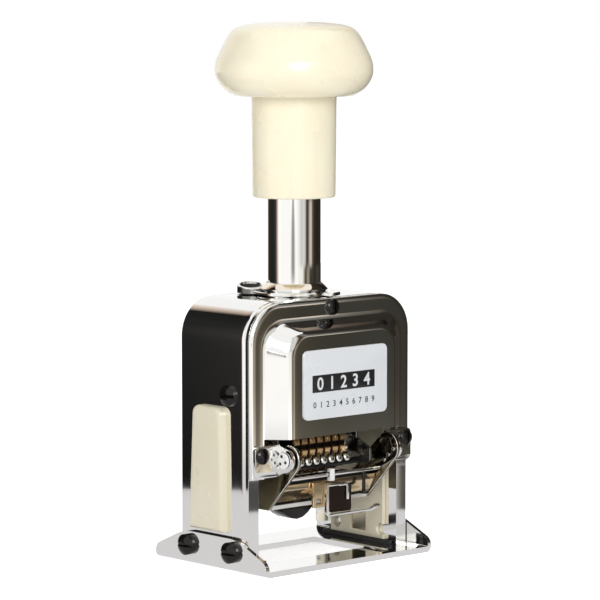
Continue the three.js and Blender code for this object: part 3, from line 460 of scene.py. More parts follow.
# Frame: a deep arch of chromed steel strip, bent over at two round corners, that carries
# everything. Its crown is pierced for the guide collar and its feet stand on the base.
def arch_rows(half, top, corner, leg_marks, y, steps=10):
    """One arch outline per row: up the left leg, round a quarter circle, over the top,
    round again and down the right leg. Half, top, corner and y hold one value per row, and
    leg_marks the heights of the points on the straight part of the legs."""
    half, top, corner, y = (np.asarray(v, float)[:, None] for v in (half, top, corner, y))
    rows = half.shape[0]
    low = np.asarray(leg_marks, float)
    share = np.linspace(0, 1, 9)[1:]
    leg_z = np.concatenate([
        np.repeat(low[None, :], rows, 0), low[-1] + (top - corner - low[-1]) * share[None, :]
    ], 1)
    leg_x = np.repeat(-half, leg_z.shape[1], 1)
    turn = np.linspace(0, np.pi / 2, steps + 1)[None, 1:]
    arc_x = -half + corner * (1 - np.cos(turn))
    arc_z = top - corner * (1 - np.sin(turn))
    mid_share = np.linspace(0, 1, 15)[None, 1:-1]
    mid_x = (-half + corner) * (1 - 2 * mid_share)
    mid_z = np.repeat(top, mid_x.shape[1], 1)
    x = np.concatenate([leg_x, arc_x, mid_x, -arc_x[:, ::-1], -leg_x[:, ::-1]], 1)
    z = np.concatenate([leg_z, arc_z, mid_z, arc_z[:, ::-1], leg_z[:, ::-1]], 1)
    return np.stack([x, np.repeat(y, x.shape[1], 1), z], -1)


frame_half = 36.8
frame_front = -17.9
frame_rear = 16.7
frame_top = 91.0
frame_wall = 4.6
frame_corner = 13.0
frame_foot = 2.0
shaft_hole_half = 9.8
edge_lip = 1.5
edge_round = 2.9
edge_run = edge_round * math.sin(math.radians(44))
crease_y = frame_front + edge_lip
frame_y = lines((frame_front, 2), (crease_y, 1), (crease_y + 0.02, 8), (crease_y + edge_run, 3),
                (-shaft_hole_half, 8), (shaft_hole_half, 6), (frame_rear, 0))


def frame_skin(inset, eased):
    """The strip's face at an inset from its outside: the same arch at every depth y. An
    eased face falls away in a large round towards the front, by the radius less the root of
    its square less the square of the way in, and stops in a crease at the front lip."""
    from_end = frame_y - frame_front - edge_lip
    way_in = np.clip(edge_run - from_end, 0, edge_run) * (from_end > 0.01)
    depth = inset + eased * (edge_round - np.sqrt(edge_round ** 2 - way_in ** 2))
    skin = arch_rows(frame_half - depth, frame_top - depth, frame_corner - depth,
                     np.linspace(frame_foot, 60, 8), frame_y, 14)
    return skin.transpose(1, 0, 2)


frame_outer = frame_skin(0, 1)
frame_inner = frame_skin(frame_wall, 0)
middle = (frame_outer[:-1, :-1] + frame_outer[1:, 1:]) / 2
bored = (middle[..., 2] > frame_top - 0.5) & (np.abs(middle[..., 0]) < shaft_hole_half + 1.5)
bored &= np.abs(middle[..., 1]) < shaft_hole_half
make_piece(sheet_between("frame_arch", frame_outer, frame_inner, ~bored),
           "stand", chrome, ["frame"], sharp=40, bevel=0.15)
for sign, side in ((-1, "left"), (1, "right")):
    slotted_screw(f"frame_screw_{side}", 3.65, 1.95, 0.9, 0.3, 1.1, 1.1,
                  (sign * frame_half, -7.8, 59.6), (sign, 0, 0))


# Rubber buffers: two long strips on the base sheet along the feet of the legs, which
# quieten the stroke. They are cut from black rubber and glued down.
black_rubber = metal_finish("black_rubber", (0.022, 0.022, 0.022), 0.62, 0.2, 0.6, 1500, 0.2, 0.0)


def dress(node_name, material, bevel=0.15, segments=2, angle=30):
    """Finishes a frame node as it stands: joined faces, eased edges and a material."""
    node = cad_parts[node_name]
    node.data.polygons.foreach_set("use_smooth", [True] * len(node.data.polygons))
    weld = node.modifiers.new("joined", "WELD")
    weld.merge_threshold = 0.004 * mm
    ease_edges(node, bevel, segments, angle)
    node.data.materials.clear()
    node.data.materials.append(material)
    return node


for side in ("left", "right"):
    dress(f"buffer_{side}", black_rubber, 0.3)


# Covers: two stamped sheets of chromed steel, screwed to the front and back of the frame.
# Each has a flat flange and a drawn pan, open below, with soft pressed corners.
cover_sheet = 1.5
cover_rim = 1.15
pan_foot, pan_wall, pan_knee = 5.6, 6.2, 11.8


def stamped_cover(name, narrow, leg_bottom, pan_bottom, mouth_half, depth, hollow, shoulder):
    """Sheet drawn out of a flat flange. Rows go from the rim inwards; the inset from the
    outline and the draw depth follow a profile of straight lines joined by circles, of
    the hollow's radius at the foot and the shoulder's at the face. Every row is an arch
    whose half width, top and corner shrink with the inset."""
    flat_y = cover_sheet - frame_front
    face_y = depth - frame_front
    rim = np.linspace(0, np.pi / 2, 6)
    rim_in = cover_rim * (1 - np.cos(rim))
    rim_y = flat_y - cover_rim + cover_rim * np.sin(rim)
    wall = math.atan2(face_y - flat_y, pan_wall)
    foot = hollow * math.tan(wall / 2)
    knee = shoulder * math.tan(wall / 2)
    bend = np.linspace(0, wall, 11)
    foot_in = pan_foot - foot + hollow * np.sin(bend)
    foot_y = flat_y + hollow * (1 - np.cos(bend))
    knee_in = pan_knee + knee - shoulder * np.sin(bend[::-1])
    knee_y = face_y - shoulder * (1 - np.cos(bend[::-1]))
    wall_in = np.linspace(foot_in[-1], knee_in[0], 7)[1:-1]
    wall_y = np.linspace(foot_y[-1], knee_y[0], 7)[1:-1]
    face_in = np.array([16.8, 19, 22, 26, 30, 33, frame_half])
    inset = np.concatenate([rim_in, [2.2, 3.0], foot_in, wall_in, knee_in, face_in])
    y = np.concatenate([rim_y, [flat_y] * 2, foot_y, wall_y, knee_y, [face_y] * 7])
    drop = np.interp(inset, [0, pan_foot, pan_knee, frame_half], [0, 6.8, 10.4, 24])
    corner = np.interp(inset, [0, pan_foot, pan_knee, frame_half], [13, 9, 7.6, 0.02])
    side = frame_half - inset - narrow * np.clip(1 - inset / 4, 0, 1)
    marks = np.concatenate([np.linspace(leg_bottom, pan_bottom, 6), [pan_bottom + 4]])
    outer = arch_rows(side, frame_top - drop, corner, marks, -y, 12)
    along = np.gradient(outer, axis=1)
    inward = np.gradient(outer, axis=0)
    normal = np.cross(inward, along)
    size = np.linalg.norm(normal, axis=-1, keepdims=True)
    normal = np.where(size > 1e-6, normal / np.maximum(size, 1e-6), (0, -1, 0))
    normal[-8:] = (0, -1, 0)
    normal *= np.where(normal[..., 1:2] > 0, -1, 1)
    inner = outer - normal * (cover_sheet - 0.02)
    inner[:6, :, 1] = np.minimum(inner[:6, :, 1], frame_front - 0.02)
    cell_z = (outer[:-1, :-1, 2] + outer[1:, 1:, 2]) / 2
    cell_half = np.repeat((frame_half - (inset[:-1] + inset[1:]) / 2)[:, None], cell_z.shape[1], 1)
    keep = ~((cell_z < pan_bottom) & (cell_half < mouth_half))
    return sheet_between(name, outer, inner, keep, folded=True)


front = stamped_cover("front_cover_sheet", 0, 31.8, 45.3, 31.3, 8.15, 3.2, 4.6)
make_piece(front, "stand", chrome, ["front_cover"], sharp=50, bevel=0.25)
rear = stamped_cover("rear_cover_sheet", 1.6, 6.0, 20.0, 28.4, 4.5, 1.6, 2.2)
turn_round = np.array([v.co[:] for v in rear.vertices])
turn_round[:, :2] *= -1
turn_round[:, 1] += (frame_front + frame_rear) * mm
rear.vertices.foreach_set("co", turn_round.ravel())
make_piece(rear, "stand", chrome, ["rear_cover"], sharp=50, bevel=0.25)
small_head = (2.75, 1.85, 0.8, 0.4, 0.9, 1.0)
for name, y, way in (("cover_screw", -19.4, -1), ("rear_cover_screw", 18.2, 1)):
    slotted_screw(name, *small_head, (0, y, 88.1), (0, way, 0))


# Label plate: a thin white plate with round corners, stuck on the pan's face. It carries
# plain dial figures alone, a few in a black band and a row of small ones below it.
def rounded_polygon(corners, radii, steps=8):
    """Outline of a polygon, run anticlockwise, whose corners are cut by circles: each arc
    starts and ends at the corner's tangent length and turns evenly between its two sides."""
    corners = np.asarray(corners, float)
    points = []
    for i, (corner, radius) in enumerate(zip(corners, radii)):
        before = corners[i - 1] - corner
        after = corners[(i + 1) % len(corners)] - corner
        before /= np.linalg.norm(before)
        after /= np.linalg.norm(after)
        half = math.acos(np.clip(before @ after, -1, 1)) / 2
        middle = corner + (before + after) / np.linalg.norm(before + after) * radius / math.sin(half)
        start = corner + before * radius / math.tan(half) - middle
        end = corner + after * radius / math.tan(half) - middle
        swing = math.atan2(start[0] * end[1] - start[1] * end[0], start @ end)
        turn = np.linspace(0, swing, steps + 1)[:, None]
        side = np.array([-start[1], start[0]])
        points.append(middle + start * np.cos(turn) + side * np.sin(turn))
    return np.concatenate(points)


def ring_faces(count, columns):
    """Quads between the rows of a grid whose last column comes round to its first."""
    number = np.arange(count * columns).reshape(count, columns)
    ahead = np.roll(number, -1, 1)
    return np.stack([number[:-1], ahead[:-1], ahead[1:], number[1:]], -1).reshape(-1, 4).tolist()


def padded_outline(name, corners, radii, insets, rises, place, across, up, out):
    """Solid plate over a polygon with round corners. Each row is the polygon with its sides
    moved inwards by an inset and lifted by a rise, and the last row is its middle point.
    Across, up and out are the directions of the polygon's two axes and of the rise."""
    corners, radii = np.asarray(corners, float), np.asarray(radii, float)
    ahead = np.roll(corners, -1, 0) - corners
    ahead /= np.linalg.norm(ahead, axis=1, keepdims=True)
    behind = np.roll(ahead, 1, 0)
    inward = np.stack([-(ahead + behind)[:, 1], (ahead + behind)[:, 0]], 1)
    inward /= (1 + np.sum(ahead * behind, 1))[:, None]
    insets, rises = np.asarray(insets, float), np.asarray(rises, float)
    rows = np.array([
        rounded_polygon(corners + inset * inward, np.maximum(radii - inset, 0.02)) for inset in insets
    ])
    centre = np.repeat(corners.mean(0)[None, None], rows.shape[1], 1)
    rows = np.concatenate([centre, rows, centre])
    lift = np.concatenate([rises[:1], rises, rises[-1:]])
    points = (np.array(place) + rows[..., :1] * np.array(across) + rows[..., 1:] * np.array(up)
              + lift[:, None, None] * np.array(out))
    return built_mesh(name, points, ring_faces(*rows.shape[:2]))


facing_front = ((1, 0, 0), (0, 0, 1), (0, -1, 0))
label_white = metal_finish("label_enamel", (0.72, 0.73, 0.745), 0.26, 0.12, 0.12, 1200, 0.0, 0.0)
label_turn = np.linspace(0, np.pi / 2, 5)
plate = padded_outline(
    "label_plate_face", [(-19.2, -11.8), (19.2, -11.8), (19.2, 11.8), (-19.2, 11.8)], [2.0] * 4,
    np.concatenate([[0], 0.25 * (1 - np.cos(label_turn))]),
    np.concatenate([[0.01], 0.43 + 0.25 * np.sin(label_turn)]),
    (0, -26.05, 63), *facing_front)
make_piece(plate, "stand", label_white, ["label_plate"], sharp=50)


def mesh_points(mesh):
    """A mesh's points in its own units, one row each."""
    points = np.empty(len(mesh.vertices) * 3)
    mesh.vertices.foreach_get("co", points)
    return points.reshape(-1, 3)


def figure_mesh(figure, size, thick, bold):
    """One plain figure as flat-topped type: the outline of the figure given a thickness,
    then turned into a mesh centred on its own middle. Returns its points in mm and faces."""
    text = bpy.data.curves.new("figure", "FONT")
    text.body = figure
    text.size = size
    text.extrude = thick
    text.offset = bold
    text.resolution_u = 3
    text.align_x = "CENTER"
    holder = put_in_scene("figure", text)
    mesh = bpy.data.meshes.new_from_object(
        holder.evaluated_get(bpy.context.evaluated_depsgraph_get()))
    bpy.data.objects.remove(holder)
    points = mesh_points(mesh)
    points[:, :2] -= (points[:, :2].min(0) + points[:, :2].max(0)) / 2
    return points, [tuple(p.vertices) for p in mesh.polygons]


band = padded_outline(
    "label_band", [(-15.7, -2.6), (13.2, -2.6), (13.2, 3.3), (-15.7, 3.3)], [0.15] * 4,
    [0, 0, 0.02], [0, 0.03, 0.04], (0, -26.72, 63), *facing_front)
label_ink = metal_finish("label_ink", (0.014, 0.014, 0.015), 0.35, 0.15, 0.2, 1500, 0.1, 0.0)
make_piece(band, "stand", label_ink, sharp=50)


def gathered_mesh(name, shapes):
    """Several shapes, each given as its points in mm and its faces, in a single mesh."""
    starts = np.cumsum([0] + [len(points) for points, _ in shapes]).tolist()
    faces = [tuple(i + start for i in face)
             for start, (_, own_faces) in zip(starts, shapes) for face in own_faces]
    return built_mesh(name, np.concatenate([points for points, _ in shapes]), faces)


def printed_row(name, text, size, bold, first_x, step, z, y):
    """A row of plain figures on the label: each figure is set upright at an equal step
    along X, standing off the face by its own thickness of ink."""
    upright = np.array([[1, 0, 0], [0, 0, 1], [0, -1, 0]])
    shapes = []
    for place, figure in enumerate(text):
        shape, faces = figure_mesh(figure, size, 0.015, bold)
        shapes.append((np.array([first_x + place * step, y, z]) + shape @ upright, faces))
    return gathered_mesh(name, shapes)


big_row = printed_row("label_figures", "01234", 6.0, 0.12, -12.1, 5.4, 63.35, -26.78)
make_piece(big_row, "stand", label_white, sharp=30)
small_row = printed_row("label_scale", "0123456789", 2.9, 0.03, -14.6, 3.0, 56.2, -26.74)
make_piece(small_row, "stand", label_ink, sharp=30)


# Side covers and liners: two wedge-shaped caps of cream plastic, moulded with soft edges,
# on the outside of the legs over the base's flanges, and two thin cream liners inside the
# legs. In each liner's recess a brown-tinted mirror plate stands for a dark opening, as
# painted shade.
def moulded_plastic(name, colour, roughness, peel=0.12, coat=0.35, soft=0.06, drift=60):
    """Moulded plastic: an even colour with a faint cloudy drift and darker handled
    patches, and the fine orange peel of a polished mould under a glossy skin."""
    material, tree = new_material(name)
    shader = tree.nodes["Principled BSDF"]
    shader.inputs["Coat Weight"].default_value = coat
    shader.inputs["Coat Roughness"].default_value = 0.12
    shader.inputs["Subsurface Weight"].default_value = soft
    shader.inputs["Subsurface Scale"].default_value = 2 * mm
    place = shader_node(tree, "TexCoord")
    cloud = shader_node(tree, "TexNoise", {"Scale": drift, "Detail": 3},
                        {"Vector": (place, "Object")})
    handled = (*[c * f for c, f in zip(colour, (0.94, 0.92, 0.87))], 1)
    tone = shader_node(tree, "Mix", {"A": (*colour, 1), "B": handled},
                       {"Factor": (cloud, "Fac")}, data_type="RGBA")
    gloss = shader_node(tree, "MapRange", {"To Min": roughness, "To Max": roughness + 0.14},
                        {"Value": (cloud, "Fac")})
    skin = shader_node(tree, "TexNoise", {"Scale": 1400, "Detail": 2},
                       {"Vector": (place, "Object")})
    bump = shader_node(tree, "Bump", {"Strength": peel, "Distance": 0.03 * mm},
                       {"Height": (skin, "Fac")})
    feed(tree, shader, {"Roughness": (gloss, "Result"), "Base Color": (tone, "Result"),
                        "Normal": (bump, "Normal")})
    return material


# Painted shade: the caps and liners are a darker copy of the knob's cream, for the shade on their side
# faces.
shaded_cream = moulded_plastic("shaded_cream_plastic", (0.765, 0.705, 0.555), 0.22, drift=30)
opening_shade_chrome = metal_finish("opening_shade_chrome", (0.62, 0.56, 0.42), 0.16, 0.1, 0.15, 700, 0.05)
cover_foot = 12.7
cover_corners = [(-9.2, cover_foot), (8.6, cover_foot), (6.6, 55.4), (-8.4, 55.4)]
edge = np.linspace(0, np.pi / 2, 7)
for sign, side in ((-1, "left"), (1, "right")):
    cap = padded_outline(
        f"side_cover_{side}_cap", cover_corners, [0.4, 0.4, 3.0, 3.0],
        np.concatenate([[0], 1.5 * (1 - np.cos(edge))]),
        np.concatenate([[0.02], 1.3 + 1.5 * np.sin(edge)]),
        (sign * 36.8, 1.9, 0), (0, 1, 0), (0, 0, 1), (sign, 0, 0))
    make_piece(cap, "stand", shaded_cream, [f"side_cover_{side}"], sharp=50)
    dress(f"liner_{side}", shaded_cream, 0.3, 3)
    # Painted shade: a brown-tinted mirror plate on the liner stands for the dark opening in it.
    window = padded_outline(
        f"liner_window_{side}", [(-3.85, 5.05), (3.85, 5.05), (3.85, 11.45), (-3.85, 11.45)],
        [0.3] * 4, [0.1, 0, 0, 0.06], [0, 0.05, 0.2, 0.25], (sign * 31.42, 0, 0),
        (0, -sign, 0), (0, 0, 1), (-sign, 0, 0))
    make_piece(window, "stand", opening_shade_chrome, sharp=15)


# Guide collar and lock plate: a turned and chromed collar flares out like a trumpet over
# the lock plate, a pressed ring with a tongue in front and a dished thumb eye behind.
def turned_mesh(name, profile, sides=96):
    """Surface of revolution: the profile's radius and height swept round the Z axis. A
    closed profile makes a ring, and one that starts and ends on the axis makes a solid."""
    profile = np.asarray(profile, float)
    angle = np.linspace(0, 2 * np.pi, sides, endpoint=False)
    x = profile[:, :1] * np.cos(angle)
    y = profile[:, :1] * np.sin(angle)
    z = np.repeat(profile[:, 1:], sides, 1)
    return built_mesh(name, np.stack([x, y, z], -1), ring_faces(len(profile), sides))


def joined_mesh(name, parts):
    """Several closed shells of one pressed or turned part in a single mesh."""
    work = bmesh.new()
    for part in parts:
        work.from_mesh(part)
    mesh = bpy.data.meshes.new(name)
    work.to_mesh(mesh)
    work.free()
    return mesh


collar = [(9.56, 86.5), (10.9, 86.5), (10.9, 92.82), (11.5, 92.82), (11.65, 92.92), (11.68, 93.1),
          (11.68, 93.32), (11.6, 93.44), (9.82, 95.32), (9.7, 95.38), (9.56, 95.3), (9.56, 86.5)]
collar_cone_reflection_tint = metal_finish("collar_cone_reflection_tint", (0.93, 0.83, 0.71), 0.05, 0.05, 0.05)
collar_piece = make_piece(turned_mesh("guide_collar_turned", collar), "stand", chrome,
                          ["guide_collar"], sharp=40)
# Painted reflection: the flare's cone, from 93.45 to 95.3 mm up, is a tan-tinted chrome that paints in
# the cream knob and skirt reflected there.
collar_piece.data.materials.append(collar_cone_reflection_tint)
for face in collar_piece.data.polygons:
    face.material_index = int(93.45 * mm < face.center.z < 95.3 * mm)

tongue_angle = math.radians(-69)
tongue_way = np.array([math.cos(tongue_angle), math.sin(tongue_angle), 0])
tongue_side = np.array([-tongue_way[1], tongue_way[0], 0])
eye_way = math.radians(131)
eye_middle = np.array([15 * math.cos(eye_way), 15 * math.sin(eye_way), 91.32])
ring = turned_mesh("lock_ring", [
    (11.2, 91.32), (13.5, 91.32), (13.78, 91.6), (13.78, 92.2), (13.5, 92.48), (11.2, 92.48),
    (11.2, 91.32),
])
tongue = padded_outline(
    "lock_tongue", [(11.5, -3.5), (16.9, -3.5), (16.9, 3.5), (11.5, 3.5)], [0.3, 2, 2, 0.3],
    [0.15, 0, 0, 0.25], [0, 0.15, 0.9, 1.16], (0, 0, 91.33), tongue_way, tongue_side, (0, 0, 1))
lip = np.linspace(0, np.pi, 9)
dish = np.linspace(0, 1, 9)
eye = turned_mesh("lock_eye", np.concatenate([
    [[0, 0], [4.6, 0], [4.85, 0.2], [4.85, 2.5]],
    np.stack([4.2 + 0.6 * np.cos(lip), 2.55 + 0.45 * np.sin(lip)], 1),
    np.stack([3.5 * (1 - dish), 0.9 + 1.5 * (1 - dish) ** 1.5], 1),
]), sides=64)
eye_points = mesh_points(eye)
lean = eye_points @ np.array([0.6, 0.8, 0]) * eye_points[:, 2] / (3 * mm)
eye_points[:, 2] += 0.2 * lean
eye.vertices.foreach_set("co", (eye_points + eye_middle * mm).ravel())
lock_piece = make_piece(joined_mesh("lock_plate_pressed", [ring, tongue, eye]), "lock", chrome,
                        ["lock_plate"])
eye_wall_shade_steel = metal_finish("eye_wall_shade_steel", (0.20, 0.2, 0.19), 0.22, 0.16, 0.3, 800, 0.15)
eye_hollow_shade_black = metal_finish("eye_hollow_shade_black", (0.012, 0.011, 0.01), 0.5, 0.2, 0.3, 800, 0.1, 0.0)
# Painted shade: the dish of the thumb eye is near black and its side wall a dark steel, for the shade
# in the hollow and along the wall.
for finish in (eye_wall_shade_steel, eye_hollow_shade_black):
    lock_piece.data.materials.append(finish)
for face in lock_piece.data.polygons:
    across_eye = (Vector(face.center[:2]) - Vector(eye_middle[:2]) * mm).length / mm
    if across_eye < 3.4:
        face.material_index = 2
    elif across_eye < 5 and abs(face.normal.z) < 0.3:
        face.material_index = 1


# Plunger: a chromed tube that slides in the collar, with a moulded cream knob and skirt
# pressed on its head. Its two slots clear the bridge that carries the return spring.
def smooth_path(points, steps=8):
    """Smooth line through the points: between two of them a cubic whose slopes at each
    end are half the chord across that point (Catmull and Rom's rule)."""
    p = np.asarray(points, float)
    p = np.concatenate([2 * p[:1] - p[1:2], p, 2 * p[-1:] - p[-2:-1]])
    t = np.linspace(0, 1, steps, endpoint=False)[None, :, None]
    a, b, c, d = (p[i:len(p) - 3 + i, None, :] for i in range(4))
    line = 0.5 * (2 * b + (c - a) * t + (2 * a - 5 * b + 4 * c - d) * t ** 2
                  + (3 * b - a - 3 * c + d) * t ** 3)
    return np.concatenate([line.reshape(-1, 2), p[-2:-1]])


cream_knob = moulded_plastic("cream_knob_plastic", (0.95, 0.875, 0.68), 0.2, 0.08, 0.5, 0.1)
knob_shape = smooth_path(np.array([
    (0.76, 0), (0.815, 0.03), (0.88, 0.08), (0.94, 0.155), (0.985, 0.25), (1, 0.345),
    (0.985, 0.47), (0.93, 0.61), (0.868, 0.745), (0.8, 0.86), (0.72, 0.925), (0.6, 0.962),
    (0.35, 0.99), (0, 1),
]) * (27.3, 25.2) + (0, 159.8))
knob_line = np.concatenate([[(0, 172.2), (9.45, 172.2), (9.45, 159.8), (14.9, 159.8)], knob_shape])
make_piece(turned_mesh("knob_moulded", knob_line, sides=128), "plunger", cream_knob,
           ["knob"], sharp=40)
skirt_line = [(9.45, 124.8), (13.7, 124.8), (14.1, 124.9), (14.32, 125.15), (14.4, 125.6),
              (14.45, 131), (14.7, 159.78), (9.45, 159.78), (9.45, 124.8)]
make_piece(turned_mesh("skirt_moulded", skirt_line, sides=128), "plunger", cream_knob,
           ["skirt"], sharp=40)
tube_radius = 9.3
tube_bore = 7.0
slot_turn = math.asin(2.45 / tube_radius)
slot_z = (57.6, 90.6)
half_round = np.concatenate([np.linspace(-slot_turn, slot_turn, 5),
                             np.linspace(slot_turn, np.pi - slot_turn, 44)[1:-1]])
tube_turn = np.concatenate([half_round, half_round + np.pi, [2 * np.pi - slot_turn]])
tube_z = lines((54.2, 3), (slot_z[0], 8), (slot_z[1], 6), (118, 10), (172, 0))


def tube_wall(radius):
    """One wall of the tube as a grid of height by angle round the axis, at one radius."""
    return np.stack(np.broadcast_arrays(
        radius * np.cos(tube_turn), radius * np.sin(tube_turn), tube_z[:, None]), -1)


tube_cell = (tube_turn[1:] + tube_turn[:-1]) / 2
level = (tube_z[1:] + tube_z[:-1]) / 2
slotted = ((np.abs((tube_cell + np.pi / 2) % np.pi - np.pi / 2) < slot_turn)[None, :]
           & ((level > slot_z[0]) & (level < slot_z[1]))[:, None])
tube = sheet_between("shaft_tube", tube_wall(tube_radius), tube_wall(tube_bore), ~slotted, joined=True)
make_piece(tube, "plunger", chrome, ["shaft"], sharp=50)


# Return spring and its bridge: a coil of bright spring wire inside the tube, standing on a
# steel bar that the two side screws hold across the frame. The plain turned and milled
# steel parts round it, down to the wheels' cheeks, share the bar's finish.
spring_steel = metal_finish("spring_steel", (0.42, 0.41, 0.40), 0.25, 0.15, 0.2, 900, 0.1)
coil_turns = 12
coil_t = np.linspace(0, 1, coil_turns * 24 + 1)
coil_low, coil_high = 61.3 + 1.0, 118 - 1.0
coil_angle = 2 * np.pi * coil_turns * coil_t
wire_turn = np.linspace(0, 2 * np.pi, 9)[:-1]
coil_out = 5.3 + 0.7 * np.cos(wire_turn)[None, :]
coil_points = np.stack([
    coil_out * np.cos(coil_angle)[:, None], coil_out * np.sin(coil_angle)[:, None],
    (coil_low + (coil_high - coil_low) * coil_t)[:, None] + 0.7 * np.sin(wire_turn)[None, :],
], -1)
coil_ends = [list(range(8))[::-1], list(range(8 * len(coil_t) - 8, 8 * len(coil_t)))]
coil = built_mesh("return_spring_coil", coil_points, ring_faces(len(coil_t), 8) + coil_ends)
spring = make_piece(coil, "plunger", spring_steel, sharp=60)
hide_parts("return_spring")
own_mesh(spring)
machined_steel = metal_finish("machined_steel", (0.30, 0.29, 0.27), 0.2, 0.14, 0.3, 800, 0.12)
for node_name in ("spring_bridge", "crosshead", "cheek_left", "cheek_right", "wheel_axle",
                  "spacer_collar", "yoke_arm_left", "yoke_arm_right", "pawl_yoke"):
    dress(node_name, machined_steel, 0.25)
dress("ratchet_wheel", chrome, 0.25, 3)


# Number wheels: seven brass wheels on the axle, each with ten raised lands. Every land
# carries one figure, set to read the right way round when seen from outside.
wheel_brass = metal_finish("brass_dark_off_lands", (0.95, 0.64, 0.34), 0.34, 0.2, 0.4, 700, 0.2)
figure_brass = metal_finish("worn_figures", (0.85, 0.72, 0.5), 0.22, 0.2, 0.3, 900, 0.15)
wheel_axis = np.array([0, -7.0, 40.5])
wheel_left, wheel_pitch, wheel_width = -16.3, 3.55, 3.25
land_radius = 11.0
figures = [figure_mesh(str(n), 4.4, 0.16, 0.08) for n in range(10)]
rim_x = np.array([-1.62, -1.62, -1.36, -1.24, 1.24, 1.36, 1.62, 1.62])
rim_rise = np.array([0, 0, 0, 1, 1, 0, 0, 0])


def wheel_drum(name, middle_x):
    """Wheel whose section across the axle is a flat rim with one raised band in its middle.
    The band stands 1.1 mm proud over a land and sinks to the rim between two lands, with
    short flanks. Each point also holds how far it is raised, which the finish reads."""
    turn = np.radians(np.linspace(-18, 18, 13)[:-1])
    rise = np.interp(np.abs(np.degrees(turn)), [0, 12.5, 14.5, 18], [1, 1, 0, 0])
    angle = np.concatenate([turn + math.radians(36 * land - 90) for land in range(10)])
    band = np.tile(rise, 10)
    radius = land_radius - 1.1 * (1 - rim_rise[:, None] * band[None, :])
    radius[[0, -1]] = 2.3
    x = np.repeat(rim_x[:, None] + middle_x, len(angle), 1)
    y = wheel_axis[1] + radius * np.cos(angle)
    z = wheel_axis[2] + radius * np.sin(angle)
    number = np.arange(x.size).reshape(x.shape)
    ahead, across = np.roll(number, -1, 1), np.roll(number, -1, 0)
    faces = np.stack([number, ahead, np.roll(ahead, -1, 0), across], -1).reshape(-1, 4).tolist()
    mesh = built_mesh(name, np.stack([x, y, z], -1), faces)
    raised = (rim_rise[:, None] * band[None, :]).ravel()
    mask = mesh.attributes.new("raised", "FLOAT", "POINT")
    mask.data.foreach_set("value", raised.astype(np.float32))
    return mesh


# The drum is near black everywhere but on the tops of its raised lands.
drum_tree = wheel_brass.node_tree
drum_shader = drum_tree.nodes["Principled BSDF"]
raised_mark = shader_node(drum_tree, "Attribute", attribute_name="raised")
dark_off_lands = shader_node(drum_tree, "Mix", {"A": (0.012, 0.009, 0.007, 1)}, {
    "Factor": (raised_mark, "Fac"),
    "B": (drum_shader.inputs["Base Color"].links[0].from_node, "Result")}, data_type="RGBA")
feed(drum_tree, drum_shader, {"Base Color": (dark_off_lands, "Result")})
for wheel in range(7):
    middle_x = wheel_left + wheel * wheel_pitch + wheel_width / 2
    shapes = []
    for land in range(10):
        shape, faces = figures[(land * 7 + wheel * 3) % 10]
        angle = math.radians(36 * land - 90)
        outward = np.array([0, math.cos(angle), math.sin(angle)])
        upright = np.array([0, math.sin(angle), -math.cos(angle)])
        spot = wheel_axis + outward * (land_radius - 0.05) + np.array([middle_x, 0, 0])
        shapes.append((spot + shape[:, :1] * np.array([0.62, 0, 0]) + shape[:, 1:2] * upright
                       + shape[:, 2:] * outward, faces))
    make_piece(gathered_mesh(f"figures_{wheel + 1}", shapes), f"wheel_{wheel + 1}", figure_brass,
               sharp=30)
    make_piece(wheel_drum(f"wheel_drum_{wheel + 1}", middle_x), f"wheel_{wheel + 1}", wheel_brass,
               [f"number_wheel_{wheel + 1}"], sharp=30)


# Detent comb: a strip of blackened spring steel across the front of the carrier. The
# bright curled tips of its fingers press on the wheels and hold each figure in line.
dress("detent_comb", black_steel, 0.25, 3)
for wheel in range(7):
    tip_x = wheel_left + wheel * wheel_pitch + wheel_width / 2
    tip = turned_mesh(f"comb_tip_{wheel + 1}", [(0, 0)] + [
        (1.4 * math.sin(a) ** 0.8, 0.65 - 0.65 * math.cos(a)) for a in np.linspace(0.25, 2.9, 9)
    ] + [(0, 1.3)], sides=20)
    set_towards(tip, (tip_x, -19.1, 35.6), (0, -1, 0.25))
    make_piece(tip, "plunger", chrome, sharp=60)


# Ink carrier brackets: two pressed ears screwed to the front cover. Riveted pins in their
# noses carry the swinging arms. Punch marks spread each head outside, which is matt white
# as a painted highlight; inside, a disc painted dark for shade and three bright studs show
# on the arm.
def riveted_head(name, radius, height, place, direction):
    """Rivet head as a low dome over a circle: the height falls with the fourth power of
    the distance from the middle, and drops to nothing over a short rounded rim."""
    far = np.concatenate([np.linspace(0, 0.9, 9), [0.95, 0.985, 1.0, 1.0]])
    rise = np.concatenate([1 - 0.25 * np.linspace(0, 0.9, 9) ** 4, [0.8, 0.72, 0.6, 0]])
    head = turned_mesh(name, np.stack([far * radius, rise * height], -1), sides=48)
    return set_towards(head, place, direction)


